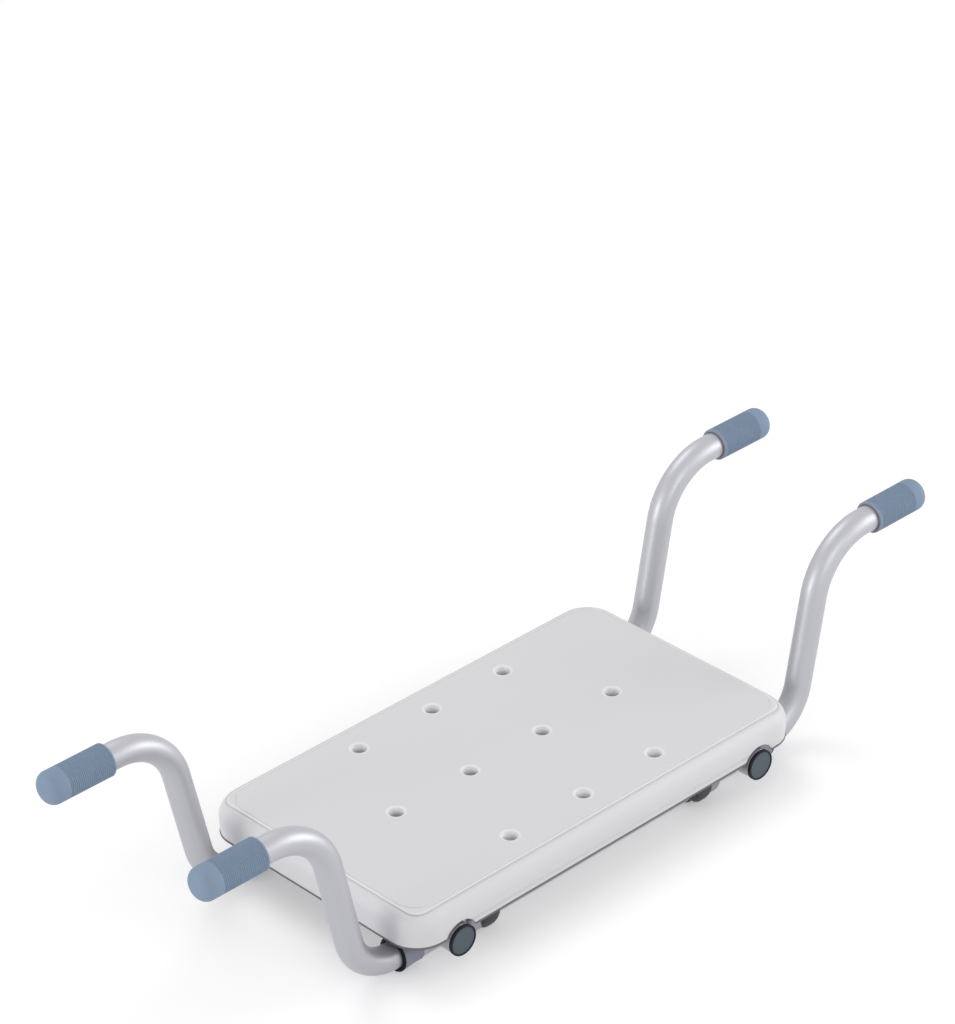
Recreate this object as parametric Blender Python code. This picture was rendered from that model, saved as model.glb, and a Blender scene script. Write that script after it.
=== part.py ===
"""Suspended bath seat: a moulded board on a tube frame that hangs from both rims of a bath.

Metres, +Z up, +X along the board. The origin is on the ground plane under the middle of
the seat. Four S-bent arms slide in the two long rails, one at each corner.
"""
import math

import bmesh
import bpy
from mathutils import Vector

# Fits
SEAT_GAP = 0.0003             # left between two pieces that rest on each other
SLIDE_GAP = 0.0003            # all round an arm in its rail

# Seat board
TOP_LENGTH = 0.405            # flat top, inside its rounded edge
TOP_WIDTH = 0.221
TOP_CORNER_RADIUS = 0.022
CORNER_SPREAD = 0.4           # growth of the corner radius for each metre that the outline moves out
EDGE_RADIUS = 0.0095          # between the flat top and the side wall
WALL_DRAFT = 0.0015           # how far the side wall leans out on its way down
SEAT_DEPTH = 0.030            # flat top to the bottom of the side wall
WALL = 0.0035
PLATE = 0.004
RIB_DEPTH = 0.006
RIB_WIDTH = 0.003
RIB_BITE = 0.0004             # ends of the ribs inside the side wall
CROSS_RIB_STEP = 0.0008       # cross ribs end this much higher than the long ones
LONG_RIB_SPACING = 0.085
CROSS_RIB_PITCH = 0.040
CROSS_RIB_COUNT = 6
SADDLE_WIDTH = 0.020          # of the blocks that rest on the cross tubes, along the tube
SADDLE_SIDE = 0.0020          # wall of a block beside the tube

# Drain holes, in three rows
HOLE_DIAMETER = 0.012
HOLE_LEAD_IN = 0.0012         # rounded mouth of a hole
SPOUT_WALL = 0.0018           # of the short spout under a hole, as deep as the ribs
HOLE_PITCH = 0.080
HOLE_ROW_SPACING = 0.0865
HOLES_IN_MIDDLE_ROW = 4

# Cross tubes, their notches in the board and their end caps
CROSS_TUBE_INSET = 0.0475     # foot of the board's end wall to the middle of a tube
CROSS_TUBE_DIAMETER = 0.0254
CROSS_TUBE_WALL = 0.0013
TUBE_UNDER_TOP = 0.0238       # flat top to the top of a cross tube
NOTCH_GAP = 0.0043            # all round a cross tube in its notch
CAP_LIP = 0.0005              # flange of a cap past the surface of its tube
CAP_THICKNESS = 0.003
CAP_PROUD = 0.002             # face of a cap past the foot of the board's side wall
CAP_RIM = 0.0016
CAP_RECESS = 0.0005
CAP_EDGE = 0.0006
CAP_PLUG_LENGTH = 0.012
CAP_PLUG_WALL = 0.002

# Screws that hold the board
SCREW_SPACING = 0.090         # along a cross tube
SCREW_DIAMETER = 0.0048
SCREW_HEAD_DIAMETER = 0.009
SCREW_HEAD_HEIGHT = 0.003
SCREW_HEAD_FACE = 0.006       # flat middle of the domed head
SCREW_HEAD_ROUND = 0.0018     # depth of its dome
SCREW_POINT = 0.001           # chamfer at the tip
SCREW_GRIP = 0.016            # thread length inside the board
SCREW_HOLE_SPARE = 0.001      # hole left past the tip
WASHER_DIAMETER = 0.0115
WASHER_THICKNESS = 0.001

# Rails and the collars at their ends
RAIL_INSET = 0.0334           # end of a cross tube to the middle of a rail
RAIL_DIAMETER = 0.0254
RAIL_WALL = 0.0014
RAIL_END_INSET = 0.0093       # foot of the board's end wall to the end of a rail
SADDLE_JOINT_DEPTH = 0.0144   # how far a rail lies in the underside of a cross tube
COLLAR_WALL = 0.0014          # over the rail, at the outer end
COLLAR_TAIL_WALL = 0.0006     # over the rail, at the inner end
COLLAR_LENGTH = 0.021
COLLAR_FLANGE = 0.002
COLLAR_EDGE = 0.0008

# Arms
ARM_WALL = 0.0012
ARM_PAST_HOLES = 0.020        # arm beyond the middle of its last hole
ARM_STUB = 0.0005             # straight length between the collar and the lower bend
LOWER_BEND_RADIUS = 0.0435
UPPER_BEND_RADIUS = 0.058
ARM_LEAN = math.radians(12.2)  # outwards, from upright
ARM_RISE = 0.1577             # rail axis to grip axis
ARM_BARE_END = 0.009          # straight tube between the upper bend and the grip
ARM_TRAVEL = 0.050
BUSH_LENGTH = 0.010
BUSH_FLANGE = 0.002
BUSH_WALL = 0.002

# Hand grips
GRIP_LENGTH = 0.060
GRIP_WALL = 0.00245
GRIP_END_WALL = 0.004
GRIP_END_RADIUS = 0.0045
GRIP_LIP = 0.0008

# Catches that lock the arms
CATCH_TO_TUBE = 0.015         # outer end of a catch housing to the cross tube
CATCH_HOLE_PITCH = 0.0125
PIN_DIAMETER = 0.005
PIN_CLEARANCE = 0.0005        # all round the pin in the rail's and the arm's holes
CATCH_RING_WALL = 0.0012
CATCH_INNER_END = 0.021       # from the pin towards the middle of the rail
CATCH_OUTER_END = 0.007
BOSS_HEIGHT = 0.0046          # boss face above the rail's surface
BOSS_WIDTH = 0.013            # the boss is oblong, with round ends
BOSS_EDGE = 0.0008            # bevel round the boss's face
BOSS_INSET = 0.0005           # boss shorter than the ring at each end
BOSS_ROOF = 0.001
BUTTON_FROM_PIN = 0.012
BUTTON_LENGTH = 0.0135
BUTTON_WIDTH = 0.0095
BUTTON_PROUD = 0.0015
BUTTON_EDGE = 0.0006
BUTTON_FLANGE = 0.0006        # foot that keeps the button under the roof
BUTTON_TRAVEL = 0.0012
LEAF_WIDTH = 0.005
LEAF_THICKNESS = 0.0006

# Facets
TUBE_SIDES = 16
TURNED_SIDES = 20
SMALL_SIDES = 12
BEND_STEPS = 6
CORNER_STEPS = 5
EDGE_STEPS = 4

# Worked out from the sizes above
CROSS_R = CROSS_TUBE_DIAMETER / 2
RAIL_R = RAIL_DIAMETER / 2
RAIL_BORE_R = RAIL_R - RAIL_WALL
ARM_R = RAIL_BORE_R - SLIDE_GAP
COLLAR_R = RAIL_R + SEAT_GAP + COLLAR_WALL
GRIP_R = ARM_R + SEAT_GAP + GRIP_WALL
RAIL_Z = COLLAR_R
CROSS_Z = RAIL_Z + CROSS_R + RAIL_R - SADDLE_JOINT_DEPTH
TOP_Z = CROSS_Z + CROSS_R + TUBE_UNDER_TOP
UNDERSIDE_Z = TOP_Z - PLATE
SKIRT_Z = TOP_Z - SEAT_DEPTH
BOARD_HALF_X = TOP_LENGTH / 2 + EDGE_RADIUS + WALL_DRAFT
BOARD_HALF_Y = TOP_WIDTH / 2 + EDGE_RADIUS + WALL_DRAFT
CROSS_X = BOARD_HALF_X - CROSS_TUBE_INSET
CROSS_END_Y = BOARD_HALF_Y + CAP_PROUD - CAP_THICKNESS - SEAT_GAP
NOTCH_RADIUS = CROSS_R + NOTCH_GAP
SCREW_Y = SCREW_SPACING / 2
RAIL_Y = CROSS_END_Y - RAIL_INSET
RAIL_END_X = BOARD_HALF_X - RAIL_END_INSET
COLLAR_FACE_X = RAIL_END_X + SEAT_GAP + COLLAR_FLANGE
BEND_START_X = COLLAR_FACE_X + ARM_STUB
GRIP_Z = RAIL_Z + ARM_RISE
PIN_X = CROSS_X - CROSS_R - CATCH_TO_TUBE - CATCH_OUTER_END
ARM_INNER_X = PIN_X - ARM_TRAVEL - ARM_PAST_HOLES
HOLE_STEPS = round(ARM_TRAVEL / CATCH_HOLE_PITCH)

AXIS_X = Vector((1, 0, 0))
AXIS_Y = Vector((0, 1, 0))
AXIS_Z = Vector((0, 0, 1))
CORNERS = {"front_left": (-1, -1), "rear_left": (-1, 1), "front_right": (1, -1), "rear_right": (1, 1)}


def clear_scene():
    for thing in list(bpy.data.objects):
        bpy.data.objects.remove(thing, do_unlink=True)


def finish(name, colour, roughness, metallic=0.0):
    """A material with one Principled BSDF."""
    material = bpy.data.materials.new(name)
    material.use_nodes = True
    shader = material.node_tree.nodes["Principled BSDF"]
    shader.inputs["Base Color"].default_value = (*colour, 1.0)
    shader.inputs["Roughness"].default_value = roughness
    shader.inputs["Metallic"].default_value = metallic
    material.diffuse_color = (*colour, 1.0)
    return material


def solid(name, rings, material, origin=(0, 0, 0), looped=False):
    """One object skinned over rings of points; its ends are capped unless the rings loop."""
    shape = bmesh.new()
    origin = Vector(origin)
    loops = [[shape.verts.new(Vector(point) - origin) for point in ring] for ring in rings]
    pairs = list(zip(loops, loops[1:]))
    if looped:
        pairs.append((loops[-1], loops[0]))
    else:
        shape.faces.new(loops[0])
        shape.faces.new(loops[-1])
    for lower, upper in pairs:
        count = len(lower)
        for i in range(count):
            j = (i + 1) % count
            shape.faces.new((lower[i], lower[j], upper[j], upper[i]))
    bmesh.ops.recalc_face_normals(shape, faces=shape.faces)
    mesh = bpy.data.meshes.new(name)
    shape.to_mesh(mesh)
    shape.free()
    mesh.shade_smooth()
    mesh.set_sharp_from_angle(angle=math.radians(35))
    thing = bpy.data.objects.new(name, mesh)
    thing.location = origin
    if material:
        mesh.materials.append(material)
    bpy.context.scene.collection.objects.link(thing)
    return thing


def round_ring(centre, radius, axis, sides):
    """Points on a circle about an axis, the first ones level with the centre."""
    across = AXIS_X if abs(axis.z) > 0.5 or abs(axis.y) > 0.5 else AXIS_Y
    up = AXIS_Y if abs(axis.z) > 0.5 else AXIS_Z
    ring = []
    for i in range(sides):
        angle = 2 * math.pi * i / sides
        ring.append(Vector(centre) + across * (radius * math.cos(angle)) + up * (radius * math.sin(angle)))
    return ring


def turned(name, outline, start, axis, material, sides=TURNED_SIDES, origin=None, looped=False):
    """A turned piece: outline holds (distance along the axis, radius) pairs."""
    start = Vector(start)
    rings = [round_ring(start + axis * along, radius, axis, sides) for along, radius in outline]
    return solid(name, rings, material, start if origin is None else origin, looped)


def block(name, low, high, material=None):
    (x0, y0, z0), (x1, y1, z1) = low, high
    rings = [[(x0, y0, z), (x1, y0, z), (x1, y1, z), (x0, y1, z)] for z in (z0, z1)]
    return solid(name, rings, material)


def tool(thing):
    """Marks a cutter or a guide, which isn't a piece."""
    thing.hide_render = True
    thing.display_type = "WIRE"
    return thing


def combine(target, other, operation):
    modifier = target.modifiers.new(operation.lower() + "_" + other.name, "BOOLEAN")
    modifier.operation = operation
    modifier.solver = "EXACT"
    modifier.object = tool(other)


def cut(target, other):
    combine(target, other, "DIFFERENCE")


def add(target, other):
    combine(target, other, "UNION")


def board_ring(offset, z):
    """Outline of the board, moved outwards by offset, at height z."""
    radius = TOP_CORNER_RADIUS + CORNER_SPREAD * offset
    half_x = TOP_LENGTH / 2 + offset - radius
    half_y = TOP_WIDTH / 2 + offset - radius
    ring = []
    for corner, (sx, sy) in enumerate(((1, 1), (-1, 1), (-1, -1), (1, -1))):
        for step in range(CORNER_STEPS + 1):
            angle = math.pi / 2 * (corner + step / CORNER_STEPS)
            ring.append((sx * half_x + radius * math.cos(angle), sy * half_y + radius * math.sin(angle), z))
    return ring


def hole_centres():
    """Drain holes: the middle row is staggered between its two neighbours."""
    centres = []
    for row in (-1, 0, 1):
        count = HOLES_IN_MIDDLE_ROW - abs(row)
        for i in range(count):
            centres.append(((i - (count - 1) / 2) * HOLE_PITCH, row * HOLE_ROW_SPACING))
    return centres


def make_seat(material):
    rings = []
    for step in range(EDGE_STEPS + 1):
        angle = math.pi / 2 * step / EDGE_STEPS
        rings.append(board_ring(EDGE_RADIUS * math.sin(angle), TOP_Z - EDGE_RADIUS * (1 - math.cos(angle))))
    rings.append(board_ring(EDGE_RADIUS + WALL_DRAFT, SKIRT_Z))
    rings.append(board_ring(EDGE_RADIUS + WALL_DRAFT - WALL, SKIRT_Z))
    rings.append(board_ring(EDGE_RADIUS - WALL, TOP_Z - EDGE_RADIUS))
    rings.append(board_ring(EDGE_RADIUS - 2 * WALL, UNDERSIDE_Z))
    seat = solid("seat_board", rings, material)

    into_plate = UNDERSIDE_Z + PLATE / 4
    rib_bottom = UNDERSIDE_Z - RIB_DEPTH
    rib_end_x = TOP_LENGTH / 2 + EDGE_RADIUS - WALL + RIB_BITE
    rib_end_y = TOP_WIDTH / 2 + EDGE_RADIUS - WALL + RIB_BITE
    for side in (-1, 1):
        y = side * LONG_RIB_SPACING / 2
        add(seat, block(f"long_rib_{side}", (-rib_end_x, y - RIB_WIDTH / 2, rib_bottom),
                        (rib_end_x, y + RIB_WIDTH / 2, into_plate)))
    for i in range(CROSS_RIB_COUNT):
        x = (i - (CROSS_RIB_COUNT - 1) / 2) * CROSS_RIB_PITCH
        add(seat, block(f"cross_rib_{i}", (x - RIB_WIDTH / 2, -rib_end_y, rib_bottom + CROSS_RIB_STEP),
                        (x + RIB_WIDTH / 2, rib_end_y, into_plate)))
    half_block = CROSS_R + SADDLE_SIDE
    for name, (sx, sy) in CORNERS.items():
        x, y = sx * CROSS_X, sy * SCREW_Y
        add(seat, block("saddle_" + name, (x - half_block, y - SADDLE_WIDTH / 2, SKIRT_Z),
                        (x + half_block, y + SADDLE_WIDTH / 2, into_plate)))
    reach = SCREW_Y + SADDLE_WIDTH
    channel = [(-reach, CROSS_R + SEAT_GAP), (reach, CROSS_R + SEAT_GAP)]
    for sx in (-1, 1):
        cut(seat, turned(f"channel_{sx}", channel, (sx * CROSS_X, 0, CROSS_Z), AXIS_Y, None, TUBE_SIDES))
    for name, (sx, sy) in CORNERS.items():
        skirt_y = TOP_WIDTH / 2 + EDGE_RADIUS - WALL / 2
        start = Vector((sx * CROSS_X, sy * (skirt_y - 2 * WALL), CROSS_Z))
        notch = turned("notch_" + name, [(0, NOTCH_RADIUS), (4 * WALL, NOTCH_RADIUS)], start, sy * AXIS_Y, None)
        cut(seat, notch)
        screw_r = SCREW_DIAMETER / 2 + SEAT_GAP
        start = Vector((sx * CROSS_X, sy * SCREW_Y, CROSS_Z))
        depth = CROSS_R + SCREW_GRIP + SCREW_HOLE_SPARE
        cut(seat, turned("screw_hole_" + name, [(0, screw_r), (depth, screw_r)], start, AXIS_Z, None, SMALL_SIDES))
    hole_r = HOLE_DIAMETER / 2
    spout_r = hole_r + SPOUT_WALL
    spout = [(-RIB_DEPTH, spout_r), (PLATE / 2, spout_r)]
    mouth = [(-RIB_DEPTH - PLATE, hole_r), (PLATE - HOLE_LEAD_IN, hole_r), (PLATE, hole_r + HOLE_LEAD_IN / 2),
             (PLATE + HOLE_LEAD_IN, hole_r + 2 * HOLE_LEAD_IN)]
    for i, (x, y) in enumerate(hole_centres()):
        add(seat, turned(f"spout_{i}", spout, (x, y, UNDERSIDE_Z), AXIS_Z, None, SMALL_SIDES))
        cut(seat, turned(f"drain_{i}", mouth, (x, y, UNDERSIDE_Z), AXIS_Z, None, SMALL_SIDES))
    return seat


def make_cross_tubes(material):
    bore = CROSS_R - CROSS_TUBE_WALL
    for side, sx in (("left", -1), ("right", 1)):
        x = sx * CROSS_X
        centre = (x, 0, CROSS_Z)
        outline = [(-CROSS_END_Y, bore), (-CROSS_END_Y, CROSS_R), (CROSS_END_Y, CROSS_R), (CROSS_END_Y, bore)]
        tube = turned("cross_tube_" + side, outline, centre, AXIS_Y, material, TUBE_SIDES, looped=True)
        for sy in (-1, 1):
            reach = CROSS_TUBE_DIAMETER
            rail = [(-reach, RAIL_R + SEAT_GAP), (reach, RAIL_R + SEAT_GAP)]
            cut(tube, turned(f"rail_seat_{side}_{sy}", rail, (x, sy * RAIL_Y, RAIL_Z), AXIS_X, None, TUBE_SIDES))
            screw_r = SCREW_DIAMETER / 2 + SEAT_GAP
            shank = [(-reach, screw_r), (reach, screw_r)]
            cut(tube, turned(f"tube_hole_{side}_{sy}", shank, (x, sy * SCREW_Y, CROSS_Z), AXIS_Z, None, SMALL_SIDES))


def make_end_cap(name, sx, sy, material):
    """Push-in cap: a plug in the tube and a flange with a raised rim outside it."""
    flange_r = CROSS_R + CAP_LIP
    plug_r = CROSS_R - CROSS_TUBE_WALL - SEAT_GAP
    face = SEAT_GAP + CAP_THICKNESS
    outline = [(face - CAP_RECESS - CAP_THICKNESS / 2, plug_r - CAP_PLUG_WALL),
               (-CAP_PLUG_LENGTH, plug_r - CAP_PLUG_WALL), (-CAP_PLUG_LENGTH, plug_r), (SEAT_GAP, plug_r),
               (SEAT_GAP, flange_r), (face - CAP_EDGE, flange_r), (face, flange_r - CAP_EDGE),
               (face, flange_r - CAP_RIM), (face - CAP_RECESS, flange_r - CAP_RIM - CAP_RECESS)]
    start = Vector((sx * CROSS_X, sy * CROSS_END_Y, CROSS_Z))
    return turned("end_cap_" + name, outline, start, sy * AXIS_Y, material)


def make_screw(name, sx, sy, material):
    """Screw from below through the cross tube into the board, and the washer under its head."""
    washer_base = CROSS_Z - CROSS_R - SEAT_GAP - WASHER_THICKNESS
    x, y = sx * CROSS_X, sy * SCREW_Y
    washer_r = WASHER_DIAMETER / 2
    bore = SCREW_DIAMETER / 2 + SEAT_GAP
    washer = [(0, bore), (0, washer_r), (WASHER_THICKNESS, washer_r), (WASHER_THICKNESS, bore)]
    turned("washer_" + name, washer, (x, y, washer_base), AXIS_Z, material, SMALL_SIDES, looped=True)
    head_r = SCREW_HEAD_DIAMETER / 2
    shank_r = SCREW_DIAMETER / 2
    base = washer_base - SEAT_GAP - SCREW_HEAD_HEIGHT
    length = CROSS_Z + CROSS_R + SCREW_GRIP - base
    screw = [(0, SCREW_HEAD_FACE / 2), (SCREW_HEAD_ROUND, head_r), (SCREW_HEAD_HEIGHT, head_r),
             (SCREW_HEAD_HEIGHT, shank_r), (length - SCREW_POINT, shank_r), (length, shank_r - SCREW_POINT)]
    turned("screw_" + name, screw, (x, y, base), AXIS_Z, material, SMALL_SIDES)


def make_rail(side, sy, material):
    centre = (0, sy * RAIL_Y, RAIL_Z)
    outline = [(-RAIL_END_X, RAIL_BORE_R), (-RAIL_END_X, RAIL_R), (RAIL_END_X, RAIL_R), (RAIL_END_X, RAIL_BORE_R)]
    rail = turned("rail_" + side, outline, centre, AXIS_X, material, TUBE_SIDES, looped=True)
    for sx in (-1, 1):
        radius = PIN_DIAMETER / 2 + PIN_CLEARANCE
        start = Vector((sx * PIN_X, sy * RAIL_Y, RAIL_Z))
        cut(rail, turned(f"pin_hole_{side}_{sx}", [(RAIL_R / 2, radius), (2 * RAIL_R, radius)], start,
                         sy * AXIS_Y, None, SMALL_SIDES))


def make_collar(name, sx, sy, material):
    """Bush over the end of a rail; its flange guides the arm."""
    seat_r = RAIL_R + SEAT_GAP
    guide_r = ARM_R + SLIDE_GAP
    shoulder = COLLAR_LENGTH - COLLAR_FLANGE
    outline = [(0, seat_r), (0, seat_r + COLLAR_TAIL_WALL), (shoulder, COLLAR_R),
               (COLLAR_LENGTH - COLLAR_EDGE, COLLAR_R), (COLLAR_LENGTH, COLLAR_R - COLLAR_EDGE),
               (COLLAR_LENGTH, guide_r), (shoulder, guide_r), (shoulder, seat_r)]
    start = Vector((sx * (COLLAR_FACE_X - COLLAR_LENGTH), sy * RAIL_Y, RAIL_Z))
    turned("rail_collar_" + name, outline, start, sx * AXIS_X, material, TUBE_SIDES, looped=True)


def arm_centre_line():
    """Stations (x, z, heading) of an arm's centre line, from its inner end to the grip's end."""
    turn = math.pi / 2 - ARM_LEAN
    stations = [(ARM_INNER_X, RAIL_Z, 0.0)]
    for step in range(BEND_STEPS + 1):
        angle = turn * step / BEND_STEPS
        stations.append((BEND_START_X + LOWER_BEND_RADIUS * math.sin(angle),
                         RAIL_Z + LOWER_BEND_RADIUS * (1 - math.cos(angle)), angle))
    foot_x, foot_z, _ = stations[-1]
    drop = UPPER_BEND_RADIUS * (1 - math.cos(turn))
    straight = (GRIP_Z - drop - foot_z) / math.sin(turn)
    knee_x = foot_x + straight * math.cos(turn)
    for step in range(BEND_STEPS + 1):
        angle = turn * (1 - step / BEND_STEPS)
        stations.append((knee_x + UPPER_BEND_RADIUS * (math.sin(turn) - math.sin(angle)),
                         GRIP_Z - UPPER_BEND_RADIUS * (1 - math.cos(angle)), angle))
    grip_x = stations[-1][0] + ARM_BARE_END
    stations.append((grip_x + GRIP_LENGTH - GRIP_END_WALL - SEAT_GAP, GRIP_Z, 0.0))
    return stations


def grip_start_x():
    return arm_centre_line()[-1][0] + SEAT_GAP + GRIP_END_WALL - GRIP_LENGTH


def tube_ring(station, radius, sx, y):
    x, z, heading = station
    ring = []
    for i in range(TUBE_SIDES):
        angle = 2 * math.pi * i / TUBE_SIDES
        out = radius * math.sin(angle)
        ring.append((sx * (x - out * math.sin(heading)), y + radius * math.cos(angle),
                     z + out * math.cos(heading)))
    return ring


def make_arm(name, sx, sy, material):
    stations = arm_centre_line()
    y = sy * RAIL_Y
    rings = [tube_ring(station, ARM_R, sx, y) for station in stations]
    rings += [tube_ring(station, ARM_R - ARM_WALL, sx, y) for station in reversed(stations)]
    arm = solid("arm_" + name, rings, material, (sx * COLLAR_FACE_X, y, RAIL_Z), looped=True)
    radius = PIN_DIAMETER / 2 + PIN_CLEARANCE
    for step in range(HOLE_STEPS + 1):
        centre = Vector((sx * (PIN_X - step * CATCH_HOLE_PITCH), y, RAIL_Z))
        hole = [(ARM_R / 2, radius), (2 * ARM_R, radius)]
        cut(arm, turned(f"arm_hole_{name}_{step}", hole, centre, sy * AXIS_Y, None, SMALL_SIDES))


def make_bush(name, sx, sy, material):
    """Plug in the inner end of an arm, which keeps it from rattling in the rail."""
    plug_r = ARM_R - ARM_WALL - SEAT_GAP
    outline = [(0, plug_r - BUSH_WALL), (0, ARM_R), (BUSH_FLANGE, ARM_R), (BUSH_FLANGE, plug_r),
               (BUSH_FLANGE + BUSH_LENGTH, plug_r), (BUSH_FLANGE + BUSH_LENGTH, plug_r - BUSH_WALL)]
    end_x = ARM_INNER_X - SEAT_GAP - BUSH_FLANGE
    start = Vector((sx * end_x, sy * RAIL_Y, RAIL_Z))
    turned("arm_bush_" + name, outline, start, sx * AXIS_X, material, TUBE_SIDES, looped=True)


def make_grip(name, sx, sy, material):
    bore = ARM_R + SEAT_GAP
    start = Vector((sx * grip_start_x(), sy * RAIL_Y, GRIP_Z))
    outline = [(GRIP_LENGTH - GRIP_END_WALL, bore), (0, bore), (0, GRIP_R - GRIP_LIP), (GRIP_LIP, GRIP_R)]
    for step in range(EDGE_STEPS + 1):
        angle = math.pi / 2 * step / EDGE_STEPS
        outline.append((GRIP_LENGTH - GRIP_END_RADIUS * (1 - math.sin(angle)),
                        GRIP_R - GRIP_END_RADIUS * (1 - math.cos(angle))))
    turned("grip_" + name, outline, start, sx * AXIS_X, material)


def oblong(name, x, y, sy, steps, material=None, length=BUTTON_LENGTH, width=BUTTON_WIDTH):
    """Oblong plug with round ends; steps hold (height above the rail's axis, growth) pairs."""
    half = (length - width) / 2
    end_steps = SMALL_SIDES // 2
    rings = []
    for height, growth in steps:
        radius = width / 2 + growth
        ring = []
        for end in (1, -1):
            for step in range(end_steps + 1):
                angle = math.pi * (step / end_steps - 0.5)
                ring.append((x + end * (half + radius * math.cos(angle)), y + sy * height,
                             RAIL_Z + end * radius * math.sin(angle)))
        rings.append(ring)
    return solid(name, rings, material, (x, y + sy * steps[0][0], RAIL_Z))


def make_catch(name, sx, sy, housing_material, button_material, spring_material):
    """Housing round the rail, push button in its boss, and rocking leaf spring with the locking pin."""
    y = sy * RAIL_Y
    bore_r = RAIL_R + SEAT_GAP
    face = RAIL_R + BOSS_HEIGHT
    roof = face - BOSS_ROOF
    floor = bore_r + LEAF_THICKNESS
    leaf_top = floor + BUTTON_TRAVEL
    button_low = leaf_top + SEAT_GAP
    ring_r = bore_r + CATCH_RING_WALL
    ring = [(-CATCH_INNER_END, ring_r), (CATCH_OUTER_END, ring_r)]
    housing = turned("catch_housing_" + name, ring, (sx * PIN_X, y, RAIL_Z), sx * AXIS_X, housing_material, TUBE_SIDES)
    boss_x = sx * (PIN_X + (CATCH_OUTER_END - CATCH_INNER_END) / 2)
    boss_length = CATCH_INNER_END + CATCH_OUTER_END - 2 * BOSS_INSET
    boss = [(0.0, 0.0), (face - BOSS_EDGE, 0.0), (face, -BOSS_EDGE)]
    add(housing, oblong("boss_" + name, boss_x, y, sy, boss, None, boss_length, BOSS_WIDTH))
    bore = [(-2 * CATCH_INNER_END, bore_r), (2 * CATCH_OUTER_END, bore_r)]
    cut(housing, turned("catch_bore_" + name, bore, (sx * PIN_X, y, RAIL_Z), sx * AXIS_X, None, TUBE_SIDES))

    button_x = sx * (PIN_X - BUTTON_FROM_PIN)
    foot = BUTTON_FLANGE + SEAT_GAP
    cut(housing, oblong("button_pocket_" + name, button_x, y, sy, [(floor, foot), (roof, foot)]))
    cut(housing, oblong("button_way_" + name, button_x, y, sy,
                        [(roof - BOSS_ROOF, SEAT_GAP), (face + BOSS_ROOF, SEAT_GAP)]))
    foot_top = roof - SEAT_GAP
    oblong("push_button_" + name, button_x, y, sy,
           [(button_low, BUTTON_FLANGE), (foot_top, BUTTON_FLANGE), (foot_top, 0.0),
            (face + BUTTON_PROUD - BUTTON_EDGE, 0.0), (face + BUTTON_PROUD, -BUTTON_EDGE)], button_material)

    leaf_in = BUTTON_FROM_PIN + BUTTON_LENGTH / 2
    leaf_out = PIN_DIAMETER / 2 + SEAT_GAP
    leaf_half = LEAF_WIDTH / 2
    low = (sx * (PIN_X - leaf_in), y + sy * (leaf_top - LEAF_THICKNESS), RAIL_Z - leaf_half)
    high = (sx * (PIN_X + leaf_out), y + sy * leaf_top, RAIL_Z + leaf_half)
    leaf = block("catch_spring_" + name, low, high, spring_material)
    pin_r = PIN_DIAMETER / 2
    pin_tip = ARM_R - ARM_WALL + PIN_CLEARANCE
    pin = [(pin_tip, pin_r - SEAT_GAP), (pin_tip + SEAT_GAP, pin_r), (leaf_top - LEAF_THICKNESS / 2, pin_r)]
    add(leaf, turned("pin_" + name, pin, (sx * PIN_X, y, RAIL_Z), sy * AXIS_Y, None, SMALL_SIDES))
    slot_low = (low[0] - sx * SEAT_GAP, y + sy * RAIL_R / 2, low[2] - SEAT_GAP)
    slot_high = (high[0] + sx * SEAT_GAP, y + sy * roof, high[2] + SEAT_GAP)
    cut(housing, block("leaf_slot_" + name, slot_low, slot_high))


def build():
    clear_scene()
    board = finish("board_plastic", (0.70, 0.70, 0.73), 0.45)
    aluminium = finish("satin_aluminium", (0.72, 0.72, 0.76), 0.32, 0.9)
    cap_plastic = finish("dark_cap_plastic", (0.08, 0.10, 0.13), 0.5)
    collar_plastic = finish("collar_plastic", (0.20, 0.22, 0.27), 0.5)
    button_plastic = finish("button_plastic", (0.05, 0.05, 0.07), 0.45)
    rubber = finish("grip_rubber", (0.19, 0.25, 0.35), 0.75)
    steel = finish("zinc_steel", (0.60, 0.60, 0.62), 0.35, 1.0)

    make_seat(board)
    make_cross_tubes(aluminium)
    for side, sy in (("front", -1), ("rear", 1)):
        make_rail(side, sy, aluminium)
    for name, (sx, sy) in CORNERS.items():
        make_end_cap(name, sx, sy, cap_plastic)
        make_screw(name, sx, sy, steel)
        make_collar(name, sx, sy, collar_plastic)
        make_arm(name, sx, sy, aluminium)
        make_bush(name, sx, sy, collar_plastic)
        make_grip(name, sx, sy, rubber)
        make_catch(name, sx, sy, collar_plastic, button_plastic, steel)


build()
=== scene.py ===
"""Looks of a suspended bath seat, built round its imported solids. Metres, +Z up, +X along the board.

A moulded board stands on two cross tubes and two long rails. Four bent arms slide in the rails and end
in ribbed rubber grips.
"""
import math

import bmesh
import bpy
from mathutils import Matrix, Vector


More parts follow.
